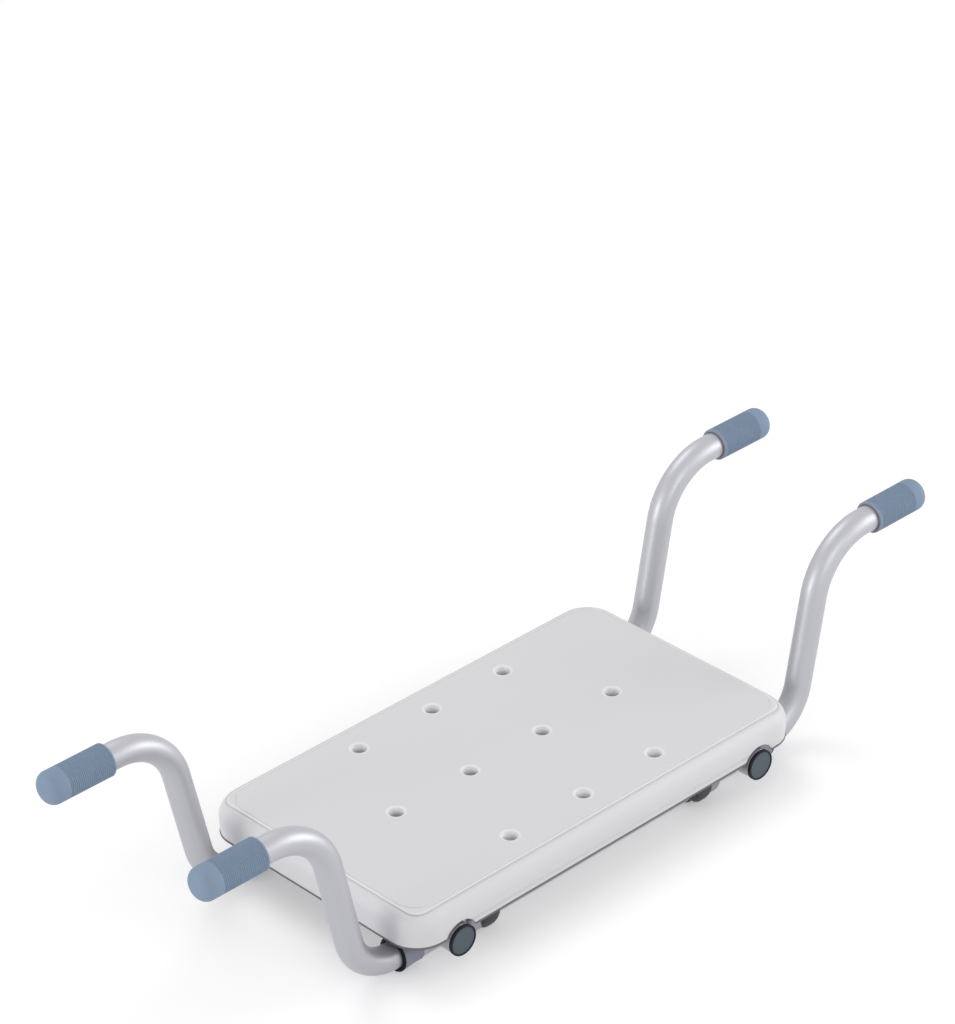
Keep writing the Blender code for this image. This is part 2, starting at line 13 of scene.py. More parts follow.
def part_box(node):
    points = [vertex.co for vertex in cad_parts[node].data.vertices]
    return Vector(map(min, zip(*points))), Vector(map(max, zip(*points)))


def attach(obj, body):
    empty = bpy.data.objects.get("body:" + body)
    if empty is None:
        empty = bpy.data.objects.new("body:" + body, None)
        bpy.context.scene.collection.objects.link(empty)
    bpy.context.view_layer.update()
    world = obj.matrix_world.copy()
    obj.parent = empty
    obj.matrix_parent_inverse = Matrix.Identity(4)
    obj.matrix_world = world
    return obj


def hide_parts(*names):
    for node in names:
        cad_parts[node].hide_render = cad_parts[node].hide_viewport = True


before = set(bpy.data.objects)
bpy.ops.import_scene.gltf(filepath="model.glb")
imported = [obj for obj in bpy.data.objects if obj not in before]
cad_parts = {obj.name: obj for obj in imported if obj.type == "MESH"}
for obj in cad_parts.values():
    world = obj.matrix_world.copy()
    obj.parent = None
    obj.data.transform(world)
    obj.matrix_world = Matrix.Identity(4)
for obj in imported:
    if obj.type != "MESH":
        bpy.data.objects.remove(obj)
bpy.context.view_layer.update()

AXIS_X = Vector((1, 0, 0))
AXIS_Y = Vector((0, 1, 0))
AXIS_Z = Vector((0, 0, 1))
CORNERS = {"front_left": (-1, -1), "rear_left": (-1, 1), "front_right": (1, -1), "rear_right": (1, 1)}
MM = 0.001

# Places and sizes read from the frame
board_low, board_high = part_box("seat_board")
rail_low, rail_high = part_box("rail_rear")
cross_low, cross_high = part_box("cross_tube_right")
collar_low, collar_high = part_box("rail_collar_rear_right")
arm_low, arm_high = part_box("arm_rear_right")
grip_low, grip_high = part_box("grip_rear_right")
cap_low, cap_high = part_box("end_cap_rear_right")
_, housing_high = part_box("catch_housing_rear_right")
screw_low, screw_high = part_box("screw_rear_right")
washer_low, washer_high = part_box("washer_rear_right")

TOP_Z = board_high.z
SKIRT_Z = board_low.z
RAIL_R = (rail_high.z - rail_low.z) / 2
RAIL_Y = (rail_high.y + rail_low.y) / 2
RAIL_Z = (rail_high.z + rail_low.z) / 2
RAIL_END = rail_high.x
CROSS_R = (cross_high.x - cross_low.x) / 2
CROSS_X = (cross_high.x + cross_low.x) / 2
CROSS_Z = cross_high.z - CROSS_R
CROSS_END = cross_high.y
COLLAR_R = (collar_high.z - collar_low.z) / 2
ARM_R = (arm_high.y - arm_low.y) / 2
GRIP_R = (grip_high.z - grip_low.z) / 2
GRIP_Z = (grip_high.z + grip_low.z) / 2
CAP_R = (cap_high.z - cap_low.z) / 2
SCREW_Y = (washer_high.y + washer_low.y) / 2
SEAT_GAP = 0.3 * MM           # between seated pieces
BEVEL = 0.3 * MM              # small bevels on moulded fittings
SLACK = 0.05 * MM             # allowance where points are looked up by their place

# Board
TOP_CORNER_RADIUS = 22 * MM
CORNER_SPREAD = 0.4           # growth of the corner radius for each metre that the outline moves out
EDGE_RADIUS = 9.5 * MM
WALL_DRAFT = 1.5 * MM
WALL = 3.5 * MM
PLATE = 4 * MM
TOP_SHARES = (0.04, 0.15, 0.3, 0.45, 0.6, 0.72, 0.82, 0.9, 0.96)  # rings of the flat top, from its middle
TOP_INSET = 1.6 * MM          # and the last one, in from its edge
EDGE_STEP = 0.5 * MM          # small step at the edge of the flat top
EDGE_STEP_INSET = 0.9 * MM
BULGE_DEPTH = 15 * MM         # flat top to the widest level of the rounded side wall
SHOULDER_DEGREES = range(4, 90, 2)
WALL_STEPS = 4
FOOT_INSET = 0.55 * MM        # how far the wall draws in above its lip
LIP_HEIGHT = 1.9 * MM
LIP_ROUND = 0.9 * MM
LIP_NECK = 0.4 * MM           # height over the lip at which the wall reaches its inset
LIP_FLARE = ((0.7, 0.35 * MM), (0.25, 0.65 * MM))  # shares of the inset, at these depths below the lip's top
CREASE_DEPTH = 0.8 * MM       # groove that runs round the shoulder
CREASE_HALF = 0.8 * MM
CREASE_SIDE = 19              # degrees down the shoulder, along the sides
CREASE_CORNER = 33            # and at the corners
INNER_FILLET = 3.2 * MM
HOLE_R = 6 * MM
HOLE_RIM = 1.7 * MM
HOLE_RING = 0.9 * MM          # width of the ring of painted highlight round a hole
HOLE_RING_DEPTH = 0.05 * MM
HOLE_RING_R = HOLE_R + HOLE_RIM + HOLE_RING
HOLE_RING_FLARE = 0.045 * MM  # its cutter opens by this much over the plate
HOLE_PITCH = 80 * MM
HOLE_ROW_SPACING = 86.5 * MM
HOLES_IN_MIDDLE_ROW = 4
SPOUT_WALL = 1.8 * MM
NOTCH_R = 17 * MM
NOTCH_RIM = 0.9 * MM
RIB_DEPTH = 6 * MM
RIB_WIDTH = 3 * MM
RIB_BITE = 0.2 * MM
CROSS_RIB_STEP = 0.8 * MM
LONG_RIB_SPACING = 85 * MM
CROSS_RIB_PITCH = 40 * MM
CROSS_RIB_COUNT = 6
BLOCK_WIDTH = 20 * MM         # blocks that rest on the cross tubes
BLOCK_SIDE = 2 * MM
SCREW_HOLE_R = 2.7 * MM
SCREW_HOLE_SPARE = 1 * MM     # of the hole past the screw's point
LEVEL_NORMAL = 0.99999        # height of a normal that counts as level
UPWARD_NORMAL = 0.5           # and as turned upwards
WALL_OUT = EDGE_RADIUS + WALL_DRAFT
TOP_HALF_X = board_high.x - WALL_OUT
TOP_HALF_Y = board_high.y - WALL_OUT
UNDERSIDE_Z = TOP_Z - PLATE
INNER_TOP = EDGE_RADIUS - WALL
DEGREE_LENGTH = math.radians(1) * (WALL_OUT + BULGE_DEPTH) / 2  # of the shoulder

# Painted shade and painted highlight on the board, in the crease, along the foot, round and in the holes:
# above 0 darker, below 0 lighter
PAINTED_SHADING = "shade"               # the attribute's name
CREASE_REACH = 0.7            # name of the attribute that holds the painted shade and highlight
CREASE_PAINTED_LIGHT = 0.7            # painted highlight on the edge above the crease
CREASE_EDGE = 2.0 * MM        # from the crease up to that edge
# painted shade along the foot of the wall
FOOT_PAINTED_SHADE = 2.0
FOOT_LINE = 1.95 * MM         # height of the painted shade line along the foot
FOOT_REACH = 10 * MM          # how far in from the sides it is looked for
# painted highlight round the rim of a hole
RIM_PAINTED_LIGHT = 0.65
HOLE_PAINTED_LIGHT = 1.9              # painted light in a hole's mouth, down to the next depth
HOLE_LIGHT_DEPTH = 4.2 * MM
HOLE_PAINTED_SHADE = 0.1               # painted shade in its depth, from the next depth on
HOLE_DARK_DEPTH = 7.5 * MM

# Tubes
CROSS_WALL = 1.3 * MM
RAIL_WALL = 1.4 * MM
ARM_WALL = 1.2 * MM
LOWER_BEND_RADIUS = 43.5 * MM
UPPER_BEND_RADIUS = 58 * MM
ARM_LEAN = math.radians(12.2)
ARM_STUB = 0.5 * MM           # straight tube between the collar and the lower bend
TUBE_EDGE = 0.3               # rounding of a tube's ends, as a share of its wall
PIN_HOLE_R = 3 * MM
PIN_HOLE_PITCH = 12.5 * MM
PIN_HOLE_COUNT = 5
PIN_X = housing_high.x - 7 * MM
WELD_R = 1.3 * MM             # of the beads between rails and cross tubes
WELD_PITCH = 1.1 * MM
WELD_TIP_R = 0.3 * MM
WELD_DROP = ((0.8, 0.7), (0.4, 0.95))  # a drop's shape: shares of its half length and radius
WELD_STEPS = 180

# Grips
GRIP_BAND = 2.2 * MM          # smooth stretch at the tube's end
GRIP_SMOOTH_END = 17 * MM     # smooth stretch at the outer end, with its rounding
GRIP_MOUTH_ROUND = 1.0 * MM
GRIP_END_RADIUS = 8.5 * MM
GRIP_END_WALL = 4 * MM
GRIP_FACE_RIM = 1 * MM        # from the end's rounding to the first ring of its face
GRIP_FACE_MIDDLE = 2 * MM
RIB_PITCH = 1.7 * MM
RIB_HEIGHT = 0.6 * MM
RIB_THICKNESS = 1.45 * MM
RIB_SIDES = 48
RIB_SECTION_SIDES = 8
GRIP_STEP = ((-BEVEL, 0), (0, 0.15 * MM), (0.1 * MM, RIB_HEIGHT))  # from a smooth stretch down to the valleys

# Fittings
CAP_RIM_WIDTH = 1.6 * MM
CAP_EDGE = 0.7 * MM
CAP_RECESS = 0.55 * MM
CAP_PLUG = 12 * MM            # length of the plug in the tube
CAP_PLUG_WALL = 2 * MM
CAP_LEAD = (1 * MM, 0.6 * MM)  # bevel on the plug's end: length and depth
COLLAR_TAIL_WALL = 0.9 * MM
COLLAR_FLARE = 1.6            # how late the collar widens
COLLAR_HOLLOW = 0.35 * MM     # of its waist
COLLAR_LIP = 0.9 * MM
WIPER_WIDTH = 1.4 * MM
WIPER_GROOVE = 0.5 * MM       # depth of the groove beside the wiper
CATCH_EDGE = 0.6 * MM
DARK_LENGTH = 17 * MM         # of the catch, from its inner end
DARK_WIDTH = 13 * MM
DARK_CROWN = 4.2 * MM
LIGHT_WIDTH = 10 * MM
LIGHT_CROWN = 3 * MM
LIGHT_DROP = 0.6 * MM         # of the light lobe below the dark one
LOBE_INSET = 0.5 * MM         # of the dark lobe from the sleeve's end
LIGHT_INSET = 0.3 * MM        # and of the light one
LOBE_LAP = 1 * MM
BUTTON_OVER_RAIL = 0.5 * MM
BUTTON_SIZE = (13.5 * MM, 9.5 * MM)
BUTTON_DOME = 2.6 * MM
BEZEL = 0.9 * MM
SCREW_HEAD_R = 4.5 * MM
SCREW_HEAD = 3 * MM
SCREW_DOME = ((0, 1.2 * MM), (0.15 * MM, 2.4 * MM), (0.6 * MM, 3.5 * MM), (1.2 * MM, 4.15 * MM),
              (1.9 * MM, SCREW_HEAD_R))
SCREW_SHANK_R = 2.4 * MM
THREAD_PITCH = 1.6 * MM
THREAD_START = 1.5 * MM       # from the head
THREAD_SPARE = 3 * MM         # plain shank at both ends together
THREAD = ((0, 0.45 * MM), (0.6 * MM, 0.4 * MM), (0.9 * MM, 0), (1.0 * MM, 0))  # one turn: distance and depth
RECESS_DEPTH = 1.7 * MM
RECESS_HALF = (2.3 * MM, 0.45 * MM)
WASHER_EDGE = 0.2 * MM

# Facets
TUBE_SIDES = 64
ROUND_SIDES = 72
SMALL_SIDES = 40
WELD_SIDES = 12
CORNER_STEPS = 20
BEND_STEPS = 28
FILLET_STEPS = 5
TUBE_STEPS = 24
STRAIGHT_STEPS = 12
LEG_STEPS = 6
WAIST_STEPS = 6
OBLONG_STEPS = 16
RUN = "run"                   # UV map with metres along a tube and round it


def arc(along, radius, size, start, end, steps=FILLET_STEPS):
    """Points (along, radius) of a circular arc; angles in degrees from the along direction."""
    points = []
    for i in range(steps + 1):
        angle = math.radians(start + (end - start) * i / steps)
        points.append((along + size * math.cos(angle), radius + size * math.sin(angle)))
    return points


def skin(name, rings, looped=False, bands=None):
    """A piece skinned over rings of points; bands gives each stretch between rings its material number."""
    shape = bmesh.new()
    layer = shape.loops.layers.uv.new(RUN)
    loops = [[shape.verts.new(point) for point in ring] for ring in rings]
    count = len(rings[0])
    perimeter = max(sum((Vector(ring[i]) - Vector(ring[i - 1])).length for i in range(count))
                    for ring in rings)
    pairs = list(zip(loops, loops[1:]))
    if looped:
        pairs.append((loops[-1], loops[0]))
    else:
        shape.faces.new(loops[0])
        shape.faces.new(loops[-1])
    along = 0.0
    for level, (lower, upper) in enumerate(pairs):
        step = (upper[0].co - lower[0].co).length
        for i in range(count):
            j = (i + 1) % count
            face = shape.faces.new((lower[i], lower[j], upper[j], upper[i]))
            face.material_index = bands[level] if bands else 0
            places = ((along, i), (along, i + 1), (along + step, i + 1), (along + step, i))
            for loop, (u, v) in zip(face.loops, places):
                loop[layer].uv = (u, v * perimeter / count)
        along += step
    bmesh.ops.recalc_face_normals(shape, faces=shape.faces)
    return piece_of(name, shape)


def piece_of(name, shape):
    mesh = bpy.data.meshes.new(name)
    shape.to_mesh(mesh)
    shape.free()
    piece = bpy.data.objects.new(name, mesh)
    bpy.context.scene.collection.objects.link(piece)
    return piece


def circle(centre, radius, axis, sides):
    across = AXIS_Y if abs(axis.x) > 0.5 else AXIS_X
    up = axis.cross(across)
    ring = []
    for i in range(sides):
        angle = 2 * math.pi * i / sides
        ring.append(centre + across * (radius * math.cos(angle)) + up * (radius * math.sin(angle)))
    return ring


def turn(name, outline, start, axis, sides=ROUND_SIDES, looped=False, bands=None):
    """A turned piece: outline holds (distance along the axis, radius) pairs."""
    start = Vector(start)
    rings = [circle(start + axis * along, radius, axis, sides) for along, radius in outline]
    return skin(name, rings, looped, bands)


def rod(name, start, end, radius, origin, axis, sides=SMALL_SIDES):
    """A plain cylinder, from start to end along the axis."""
    return turn(name, [(start, radius), (end, radius)], origin, axis, sides)


def block(name, low, high):
    (x0, y0, z0), (x1, y1, z1) = low, high
    rings = [[(x0, y0, z), (x1, y0, z), (x1, y1, z), (x0, y1, z)] for z in (z0, z1)]
    return skin(name, rings)


def settle(piece):
    """Turns the piece into the plain mesh that its modifiers make."""
    graph = bpy.context.evaluated_depsgraph_get()
    mesh = bpy.data.meshes.new_from_object(piece.evaluated_get(graph))
    old = piece.data
    piece.modifiers.clear()
    piece.data = mesh
    bpy.data.meshes.remove(old)
    return piece


def carve(piece, cutters=(), additions=()):
    """Joins the additions to the piece, takes the cutters out of it, and removes them all."""
    for operation, others in (("UNION", additions), ("DIFFERENCE", cutters)):
        for other in others:
            modifier = piece.modifiers.new(other.name, "BOOLEAN")
            modifier.operation = operation
            modifier.solver = "EXACT"
            modifier.object = other
    settle(piece)
    for other in list(additions) + list(cutters):
        bpy.data.objects.remove(other)
    return piece


def smooth(piece, angle):
    """Smooth shading, with edges kept where faces meet at more than the angle in degrees."""
    piece.data.shade_smooth()
    piece.data.set_sharp_from_angle(angle=math.radians(angle))
    return piece


def join(name, pieces):
    """One mesh from several pieces, which keep their materials."""
    shape = bmesh.new()
    materials = []
    for piece in pieces:
        numbers = []
        for material in piece.data.materials:
            if material not in materials:
                materials.append(material)
            numbers.append(materials.index(material))
        for polygon in piece.data.polygons:
            polygon.material_index = numbers[polygon.material_index] if numbers else 0
        shape.from_mesh(piece.data)
        bpy.data.objects.remove(piece)
    whole = piece_of(name, shape)
    for material in materials:
        whole.data.materials.append(material)
    return whole


def dress(piece, *materials):
    """Gives the piece its materials; where there are several, its faces keep their material numbers."""
    numbers = [polygon.material_index for polygon in piece.data.polygons]
    piece.data.materials.clear()
    for material in materials:
        piece.data.materials.append(material)
    if len(materials) > 1:
        piece.data.polygons.foreach_set("material_index", numbers)
    return piece


def place(piece, body, slot, *nodes):
    """Says what the piece rides on and the solids that it stands for; slot is not used."""
    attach(piece, body)
    if nodes:
        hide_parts(*nodes)
    return piece


# Node trees

class Value:
    """An output socket that can be added and multiplied; each step adds a Math node."""

    def __init__(self, home, socket):
        self.home = home
        self.socket = socket

    def math(self, operation, first, second):
        return self.home.node("ShaderNodeMath", {"operation": operation}, {0: first, 1: second})

    def __add__(self, other):
        return self.math("ADD", self, other)

    def __radd__(self, other):
        return self.math("ADD", other, self)

    def __mul__(self, other):
        return self.math("MULTIPLY", self, other)

    def __rmul__(self, other):
        return self.math("MULTIPLY", other, self)


class Tree:
    """Adds nodes to self.tree."""

    def node(self, kind, settings=None, sockets=None, out=0):
        """Adds a node: first its settings, then its sockets. Gives one of its outputs."""
        node = self.tree.nodes.new(kind)
        for key, value in (settings or {}).items():
            setattr(node, key, value)
        for key, value in (sockets or {}).items():
            self.feed(node.inputs[key], value)
        return Value(self, node.outputs[out])

    def feed(self, socket, value):
        if isinstance(value, Value):
            self.tree.links.new(value.socket, socket)
        else:
            socket.default_value = value


def spaced(label):
    return label.replace("_", " ")


class Plan(Tree):
    """A modifier's tree with named inputs, which ends in real geometry of one material."""

    def __init__(self, name, **inputs):
        self.tree = bpy.data.node_groups.new(name, "GeometryNodeTree")
        self.tree.is_modifier = True
        kinds = {"Geometry": "Geometry", **inputs, "Material": "Material"}
        for label, kind in kinds.items():
            self.tree.interface.new_socket(spaced(label), in_out="INPUT", socket_type="NodeSocket" + kind)
        self.tree.interface.new_socket("Geometry", in_out="OUTPUT", socket_type="NodeSocketGeometry")
        self.inputs = self.tree.nodes.new("NodeGroupInput").outputs

    def given(self, label):
        return Value(self, self.inputs[label])

    def line(self, count, start, step):
        """Points in a straight row; takes the names of three inputs."""
        return self.node("GeometryNodeMeshLine", {"mode": "OFFSET"}, {
            "Count": self.given(count), "Start Location": self.given(start), "Offset": self.given(step)})

    def solid_of(self, label):
        return self.node("GeometryNodeObjectInfo", {}, {"Object": self.given(label)}, "Geometry")

    def copies(self, points, instance, **turned):
        """Ends the tree in copies of the instance on the points."""
        places = {"Points": points, "Instance": instance, **turned}
        laid = self.node("GeometryNodeInstanceOnPoints", {}, places)
        real = self.node("GeometryNodeRealizeInstances", {}, {"Geometry": laid})
        finish = {"Geometry": real, "Material": self.given("Material")}
        painted = self.node("GeometryNodeSetMaterial", {}, finish)
        self.feed(self.tree.nodes.new("NodeGroupOutput").inputs["Geometry"], painted)
        return self.tree


def row_tree():
    """A tree that lays copies of a template in a straight row."""
    plan = Plan("row_of_copies", Template="Object", Count="Int", Start="Vector", Step="Vector")
    return plan.copies(plan.line("Count", "Start", "Step"), plan.solid_of("Template"))


def rib_tree():
    """A tree that lays raised rings in a row round a straight grip."""
    plan = Plan("grip_ribs", Ribs="Int", First_Rib="Vector", Pitch="Vector", Crest_Radius="Float",
                Thickness="Float", Sides="Int")
    half = plan.given("Thickness") * 0.5
    middle = plan.node("ShaderNodeMath", {"operation": "SUBTRACT"}, {0: plan.given("Crest Radius"), 1: half})
    circles = "GeometryNodeCurvePrimitiveCircle"
    ring = plan.node(circles, {}, {"Radius": middle, "Resolution": plan.given("Sides")})
    section = plan.node(circles, {}, {"Radius": half, "Resolution": RIB_SECTION_SIDES})
    swept = plan.node("GeometryNodeCurveToMesh", {}, {"Curve": ring, "Profile Curve": section})
    turned = plan.node("GeometryNodeTransform", {}, {"Geometry": swept, "Rotation": (0, math.pi / 2, 0)})
    return plan.copies(plan.line("Ribs", "First Rib", "Pitch"), turned)


def weld_tree():
    """A tree that lays overlapping drops of weld along a path."""
    plan = Plan("weld_drops", Path="Object", Drop="Object", Count="Int")
    curve = plan.node("GeometryNodeMeshToCurve", {}, {"Mesh": plan.solid_of("Path")})
    points = plan.node("GeometryNodeResampleCurve", {}, {"Curve": curve, "Count": plan.given("Count")})
    tangent = plan.node("GeometryNodeInputTangent")
    turned = plan.node("FunctionNodeAlignRotationToVector", {"axis": "Z"}, {"Vector": tangent})
    return plan.copies(points, plan.solid_of("Drop"), Rotation=turned)


def grow(name, tree, **values):
    """The plain mesh that a node tree makes with these inputs; an underscore stands for a space."""
    piece = piece_of(name, bmesh.new())
    modifier = piece.modifiers.new(tree.name, "NODES")
    modifier.node_group = tree
    sockets = {item.name: item.identifier for item in tree.interface.items_tree
               if item.item_type == "SOCKET" and item.in_out == "INPUT"}
    for label, value in values.items():
        modifier[sockets[spaced(label)]] = value
    return settle(piece)


ROW = row_tree()
RIBS = rib_tree()
WELDS = weld_tree()


def row(name, template, count, start, step, material):
    """Copies of a template in a row; the template is removed."""
    copies = grow(name, ROW, Template=template, Count=count, Start=tuple(start), Step=tuple(step),
                  Material=material)
    bpy.data.objects.remove(template)
    return copies


def pair(name, template, reach, material):
    """Two copies of a template, moved by reach and by its opposite."""
    return row(name, template, 2, -reach, 2 * reach, material)


# Finishes

class Finish(Tree):
    """A surface finish: one material with a Principled shader."""

    def __init__(self, name, colour, roughness, metallic=0.0, **settings):
        self.material = bpy.data.materials.new(name)
        self.material.use_nodes = True
        self.tree = self.material.node_tree
        self.shader = self.tree.nodes["Principled BSDF"]
        self.set("Base Color", (*colour, 1))
        self.set("Roughness", roughness)
        self.set("Metallic", metallic)
        for label, value in settings.items():
            self.set(spaced(label), value)
        self.material.diffuse_color = (*colour, 1)

    def set(self, label, value):
        self.feed(self.shader.inputs[label], value)

    def coords(self, stretch=(1, 1, 1), along_tube=False):
        """Object coordinates, or metres along and round a tube, stretched."""
        if along_tube:
            source = self.node("ShaderNodeUVMap", {"uv_map": RUN})
        else:
            source = self.node("ShaderNodeTexCoord", out="Object")
        return self.node("ShaderNodeMapping", {}, {"Vector": source, "Scale": stretch})

    def noise(self, coords, scale, detail=3, roughness=0.55):
        return self.node("ShaderNodeTexNoise", {}, {"Vector": coords, "Scale": scale, "Detail": detail,
                                                    "Roughness": roughness})

    def tint(self, factor, low, high):
        """Colour between low and high; either may be a colour made by nodes."""
        low, high = (colour if isinstance(colour, Value) else (*colour, 1) for colour in (low, high))
        return self.node("ShaderNodeMix", {"data_type": "RGBA"}, {0: factor, 6: low, 7: high}, out=2)

    def bump(self, height, distance):
        return self.node("ShaderNodeBump", {}, {"Height": height, "Distance": distance})


def moulded_plastic(name, dark, light, roughness, grain=0.00002, shade=0.0, **settings):
    """Moulded plastic: a fine eroded grain, faint clouding, and a sheen that varies slowly; with shade,
    painted shade and painted highlight from the attribute.
    """
    finish = Finish(name, light, roughness, **settings)
    coords = finish.coords()
    cloud = finish.noise(coords, 9, 2)
    fine = finish.noise(coords, 1500, 2, 0.6)
    speck = finish.noise(coords, 375, 3)
    colour = finish.tint(cloud * 0.75 + fine * 0.25, dark, light)
    if shade:
        # painted shade, mixed towards a darker colour, and painted highlight, mixed towards near white, as
        # far as the attribute says
        painted_mark = finish.node("ShaderNodeAttribute", {"attribute_name": PAINTED_SHADING}, out="Fac")
        colour = finish.tint(painted_mark * shade, colour, [0.18 * part for part in dark])
        colour = finish.tint(painted_mark * -shade, colour, (0.97, 0.97, 1.0))
    finish.set("Base Color", colour)
    finish.set("Roughness", roughness - 0.05 + cloud * 0.05 + speck * 0.05)
    finish.set("Normal", finish.bump(fine * 0.7 + speck * 0.3, grain))
    return finish.material


def drawn_aluminium(name):
    """Satin anodised tube, with faint lines along its length."""
    finish = Finish(name, (0.50, 0.50, 0.54), 0.36, 0.72)
    lines = finish.noise(finish.coords((14, 900, 1), along_tube=True), 1, 4, 0.6)
    cloud = finish.noise(finish.coords((6, 30, 1), along_tube=True), 1, 2)
    fine = finish.noise(finish.coords((900, 900, 1), along_tube=True), 1, 2)
    finish.set("Base Color", finish.tint(cloud * 0.5 + lines * 0.5, (0.46, 0.46, 0.495), (0.54, 0.54, 0.58)))
    finish.set("Roughness", 0.37 + lines * 0.08 + cloud * 0.06)
    finish.set("Normal", finish.bump(lines * 0.6 + fine * 0.4, 0.000006))
    return finish.material


def soft_rubber(name):
    """Blue-grey rubber, dry, fine-grained and a little uneven in colour."""
    finish = Finish(name, (0.19, 0.25, 0.35), 0.62)
    coords = finish.coords()
    cloud = finish.noise(coords, 55, 3)
    fine = finish.noise(coords, 1900, 2, 0.7)
    finish.set("Base Color", finish.tint(cloud * 0.6 + fine * 0.4, (0.18, 0.25, 0.355), (0.245, 0.325, 0.44)))
    finish.set("Roughness", 0.55 + cloud * 0.1 + fine * 0.08)
    finish.set("Normal", finish.bump(fine, 0.00003))
    return finish.material


def plated_steel(name):
    """Zinc plated steel: mottled crystals and a bluish cast."""
    finish = Finish(name, (0.55, 0.56, 0.58), 0.3, 1.0)
    coords = finish.coords()
    cells = finish.node("ShaderNodeTexVoronoi", {}, {"Vector": coords, "Scale": 900.0}, out="Distance")
    cloud = finish.noise(coords, 260, 3)
    finish.set("Base Color", finish.tint(cloud, (0.47, 0.48, 0.52), (0.62, 0.62, 0.63)))
    finish.set("Roughness", 0.24 + cloud * 0.12 + cells * 0.08)
    finish.set("Normal", finish.bump(cells, 0.00002))
    return finish.material


# the board's plastic carries painted shade and painted highlight from its attribute
BOARD = moulded_plastic("board_plastic", (0.665, 0.66, 0.675), (0.705, 0.70, 0.73), 0.42, 0.000018, shade=0.5)
ALUMINIUM = drawn_aluminium("satin_aluminium")
CAP_FACE = moulded_plastic("cap_face", (0.072, 0.092, 0.115), (0.098, 0.12, 0.145), 0.6, 0.00003,
                           Specular_IOR_Level=0.25)
CAP_RIM = moulded_plastic("cap_rim", (0.012, 0.014, 0.018), (0.022, 0.024, 0.03), 0.5,
                          Specular_IOR_Level=0.15)
COLLAR = moulded_plastic("collar_plastic", (0.225, 0.245, 0.31), (0.285, 0.31, 0.38), 0.5, 0.00003)
WIPER = moulded_plastic("wiper_rubber", (0.010, 0.011, 0.014), (0.018, 0.019, 0.022), 0.65,
                        Specular_IOR_Level=0.1)
HOUSING = moulded_plastic("catch_plastic", (0.34, 0.345, 0.42), (0.40, 0.405, 0.48), 0.46)
BUTTON = moulded_plastic("button_plastic", (0.025, 0.027, 0.036), (0.042, 0.045, 0.056), 0.3)
RUBBER = soft_rubber("grip_rubber")
STEEL = plated_steel("zinc_steel")


# Board

def crease_degrees(share):
    """Where the crease lies on the shoulder; share runs from 0 to 1 round a corner."""
    return CREASE_SIDE + (CREASE_CORNER - CREASE_SIDE) * math.sin(math.pi * share) ** 2


def crease_bell(offset):
    """1 in the middle of the crease, fading on both sides."""
    return math.exp(-(offset / CREASE_HALF) ** 2)


def board_ring(offset, z, shrink=1.0):
    """Outline of the flat top moved outwards by offset, at height z."""
    radius = TOP_CORNER_RADIUS + CORNER_SPREAD * offset
    half_x = TOP_HALF_X + offset - radius
    half_y = TOP_HALF_Y + offset - radius
    ring = []
    for corner, (sx, sy) in enumerate(((1, 1), (-1, 1), (-1, -1), (1, -1))):
        for step in range(CORNER_STEPS + 1):
            angle = math.pi / 2 * (corner + step / CORNER_STEPS)
            ring.append((shrink * (sx * half_x + radius * math.cos(angle)),
                         shrink * (sy * half_y + radius * math.sin(angle)), z))
    return ring


def shoulder_ring(degrees):
    """One level of the rounded shoulder, with its groove; the groove lies lower at the corners."""
    angle = math.radians(degrees)
    plain = board_ring(WALL_OUT * math.sin(angle), TOP_Z - BULGE_DEPTH * (1 - math.cos(angle)))
    lean = Vector((math.sin(angle) / WALL_OUT, math.cos(angle) / BULGE_DEPTH)).normalized()
    ring = []
    for number, (x, y, z) in enumerate(plain):
        corner, step = divmod(number, CORNER_STEPS + 1)
        share = step / CORNER_STEPS
        heading = math.pi / 2 * (corner + share)
        depth = CREASE_DEPTH * crease_bell((degrees - crease_degrees(share)) * DEGREE_LENGTH)
        inwards = depth * lean.x
        ring.append((x - inwards * math.cos(heading), y - inwards * math.sin(heading), z - depth * lean.y))
    return ring


def crease_painted_shading(x, y, z):
    """Painted shade in the crease of the shoulder, painted highlight on the edge above it."""
    drop = (TOP_Z - z) / BULGE_DEPTH
    if not 0 < drop < CREASE_REACH:
        return 0.0
    angle = math.acos(1 - drop)
    radius = TOP_CORNER_RADIUS + (CORNER_SPREAD - 1) * WALL_OUT * math.sin(angle)
    over_x = abs(x) - TOP_HALF_X + radius
    over_y = abs(y) - TOP_HALF_Y + radius
    share = math.atan2(max(over_y, 0), max(over_x, 0)) * 2 / math.pi
    offset = (math.degrees(angle) - crease_degrees(share)) * DEGREE_LENGTH
    return crease_bell(offset) - CREASE_PAINTED_LIGHT * crease_bell(offset + CREASE_EDGE)


def hole_painted_shading(away, depth):
    """Painted highlight on the rim of a hole and painted light in its mouth, painted shade in its depth."""
    if away > HOLE_R + SLACK:
        return -RIM_PAINTED_LIGHT if depth > HOLE_RING_DEPTH / 2 else 0.0
    share = min(max((depth - HOLE_LIGHT_DEPTH) / (HOLE_DARK_DEPTH - HOLE_LIGHT_DEPTH), 0), 1)
    return HOLE_PAINTED_SHADE * share - HOLE_PAINTED_LIGHT * (1 - share)


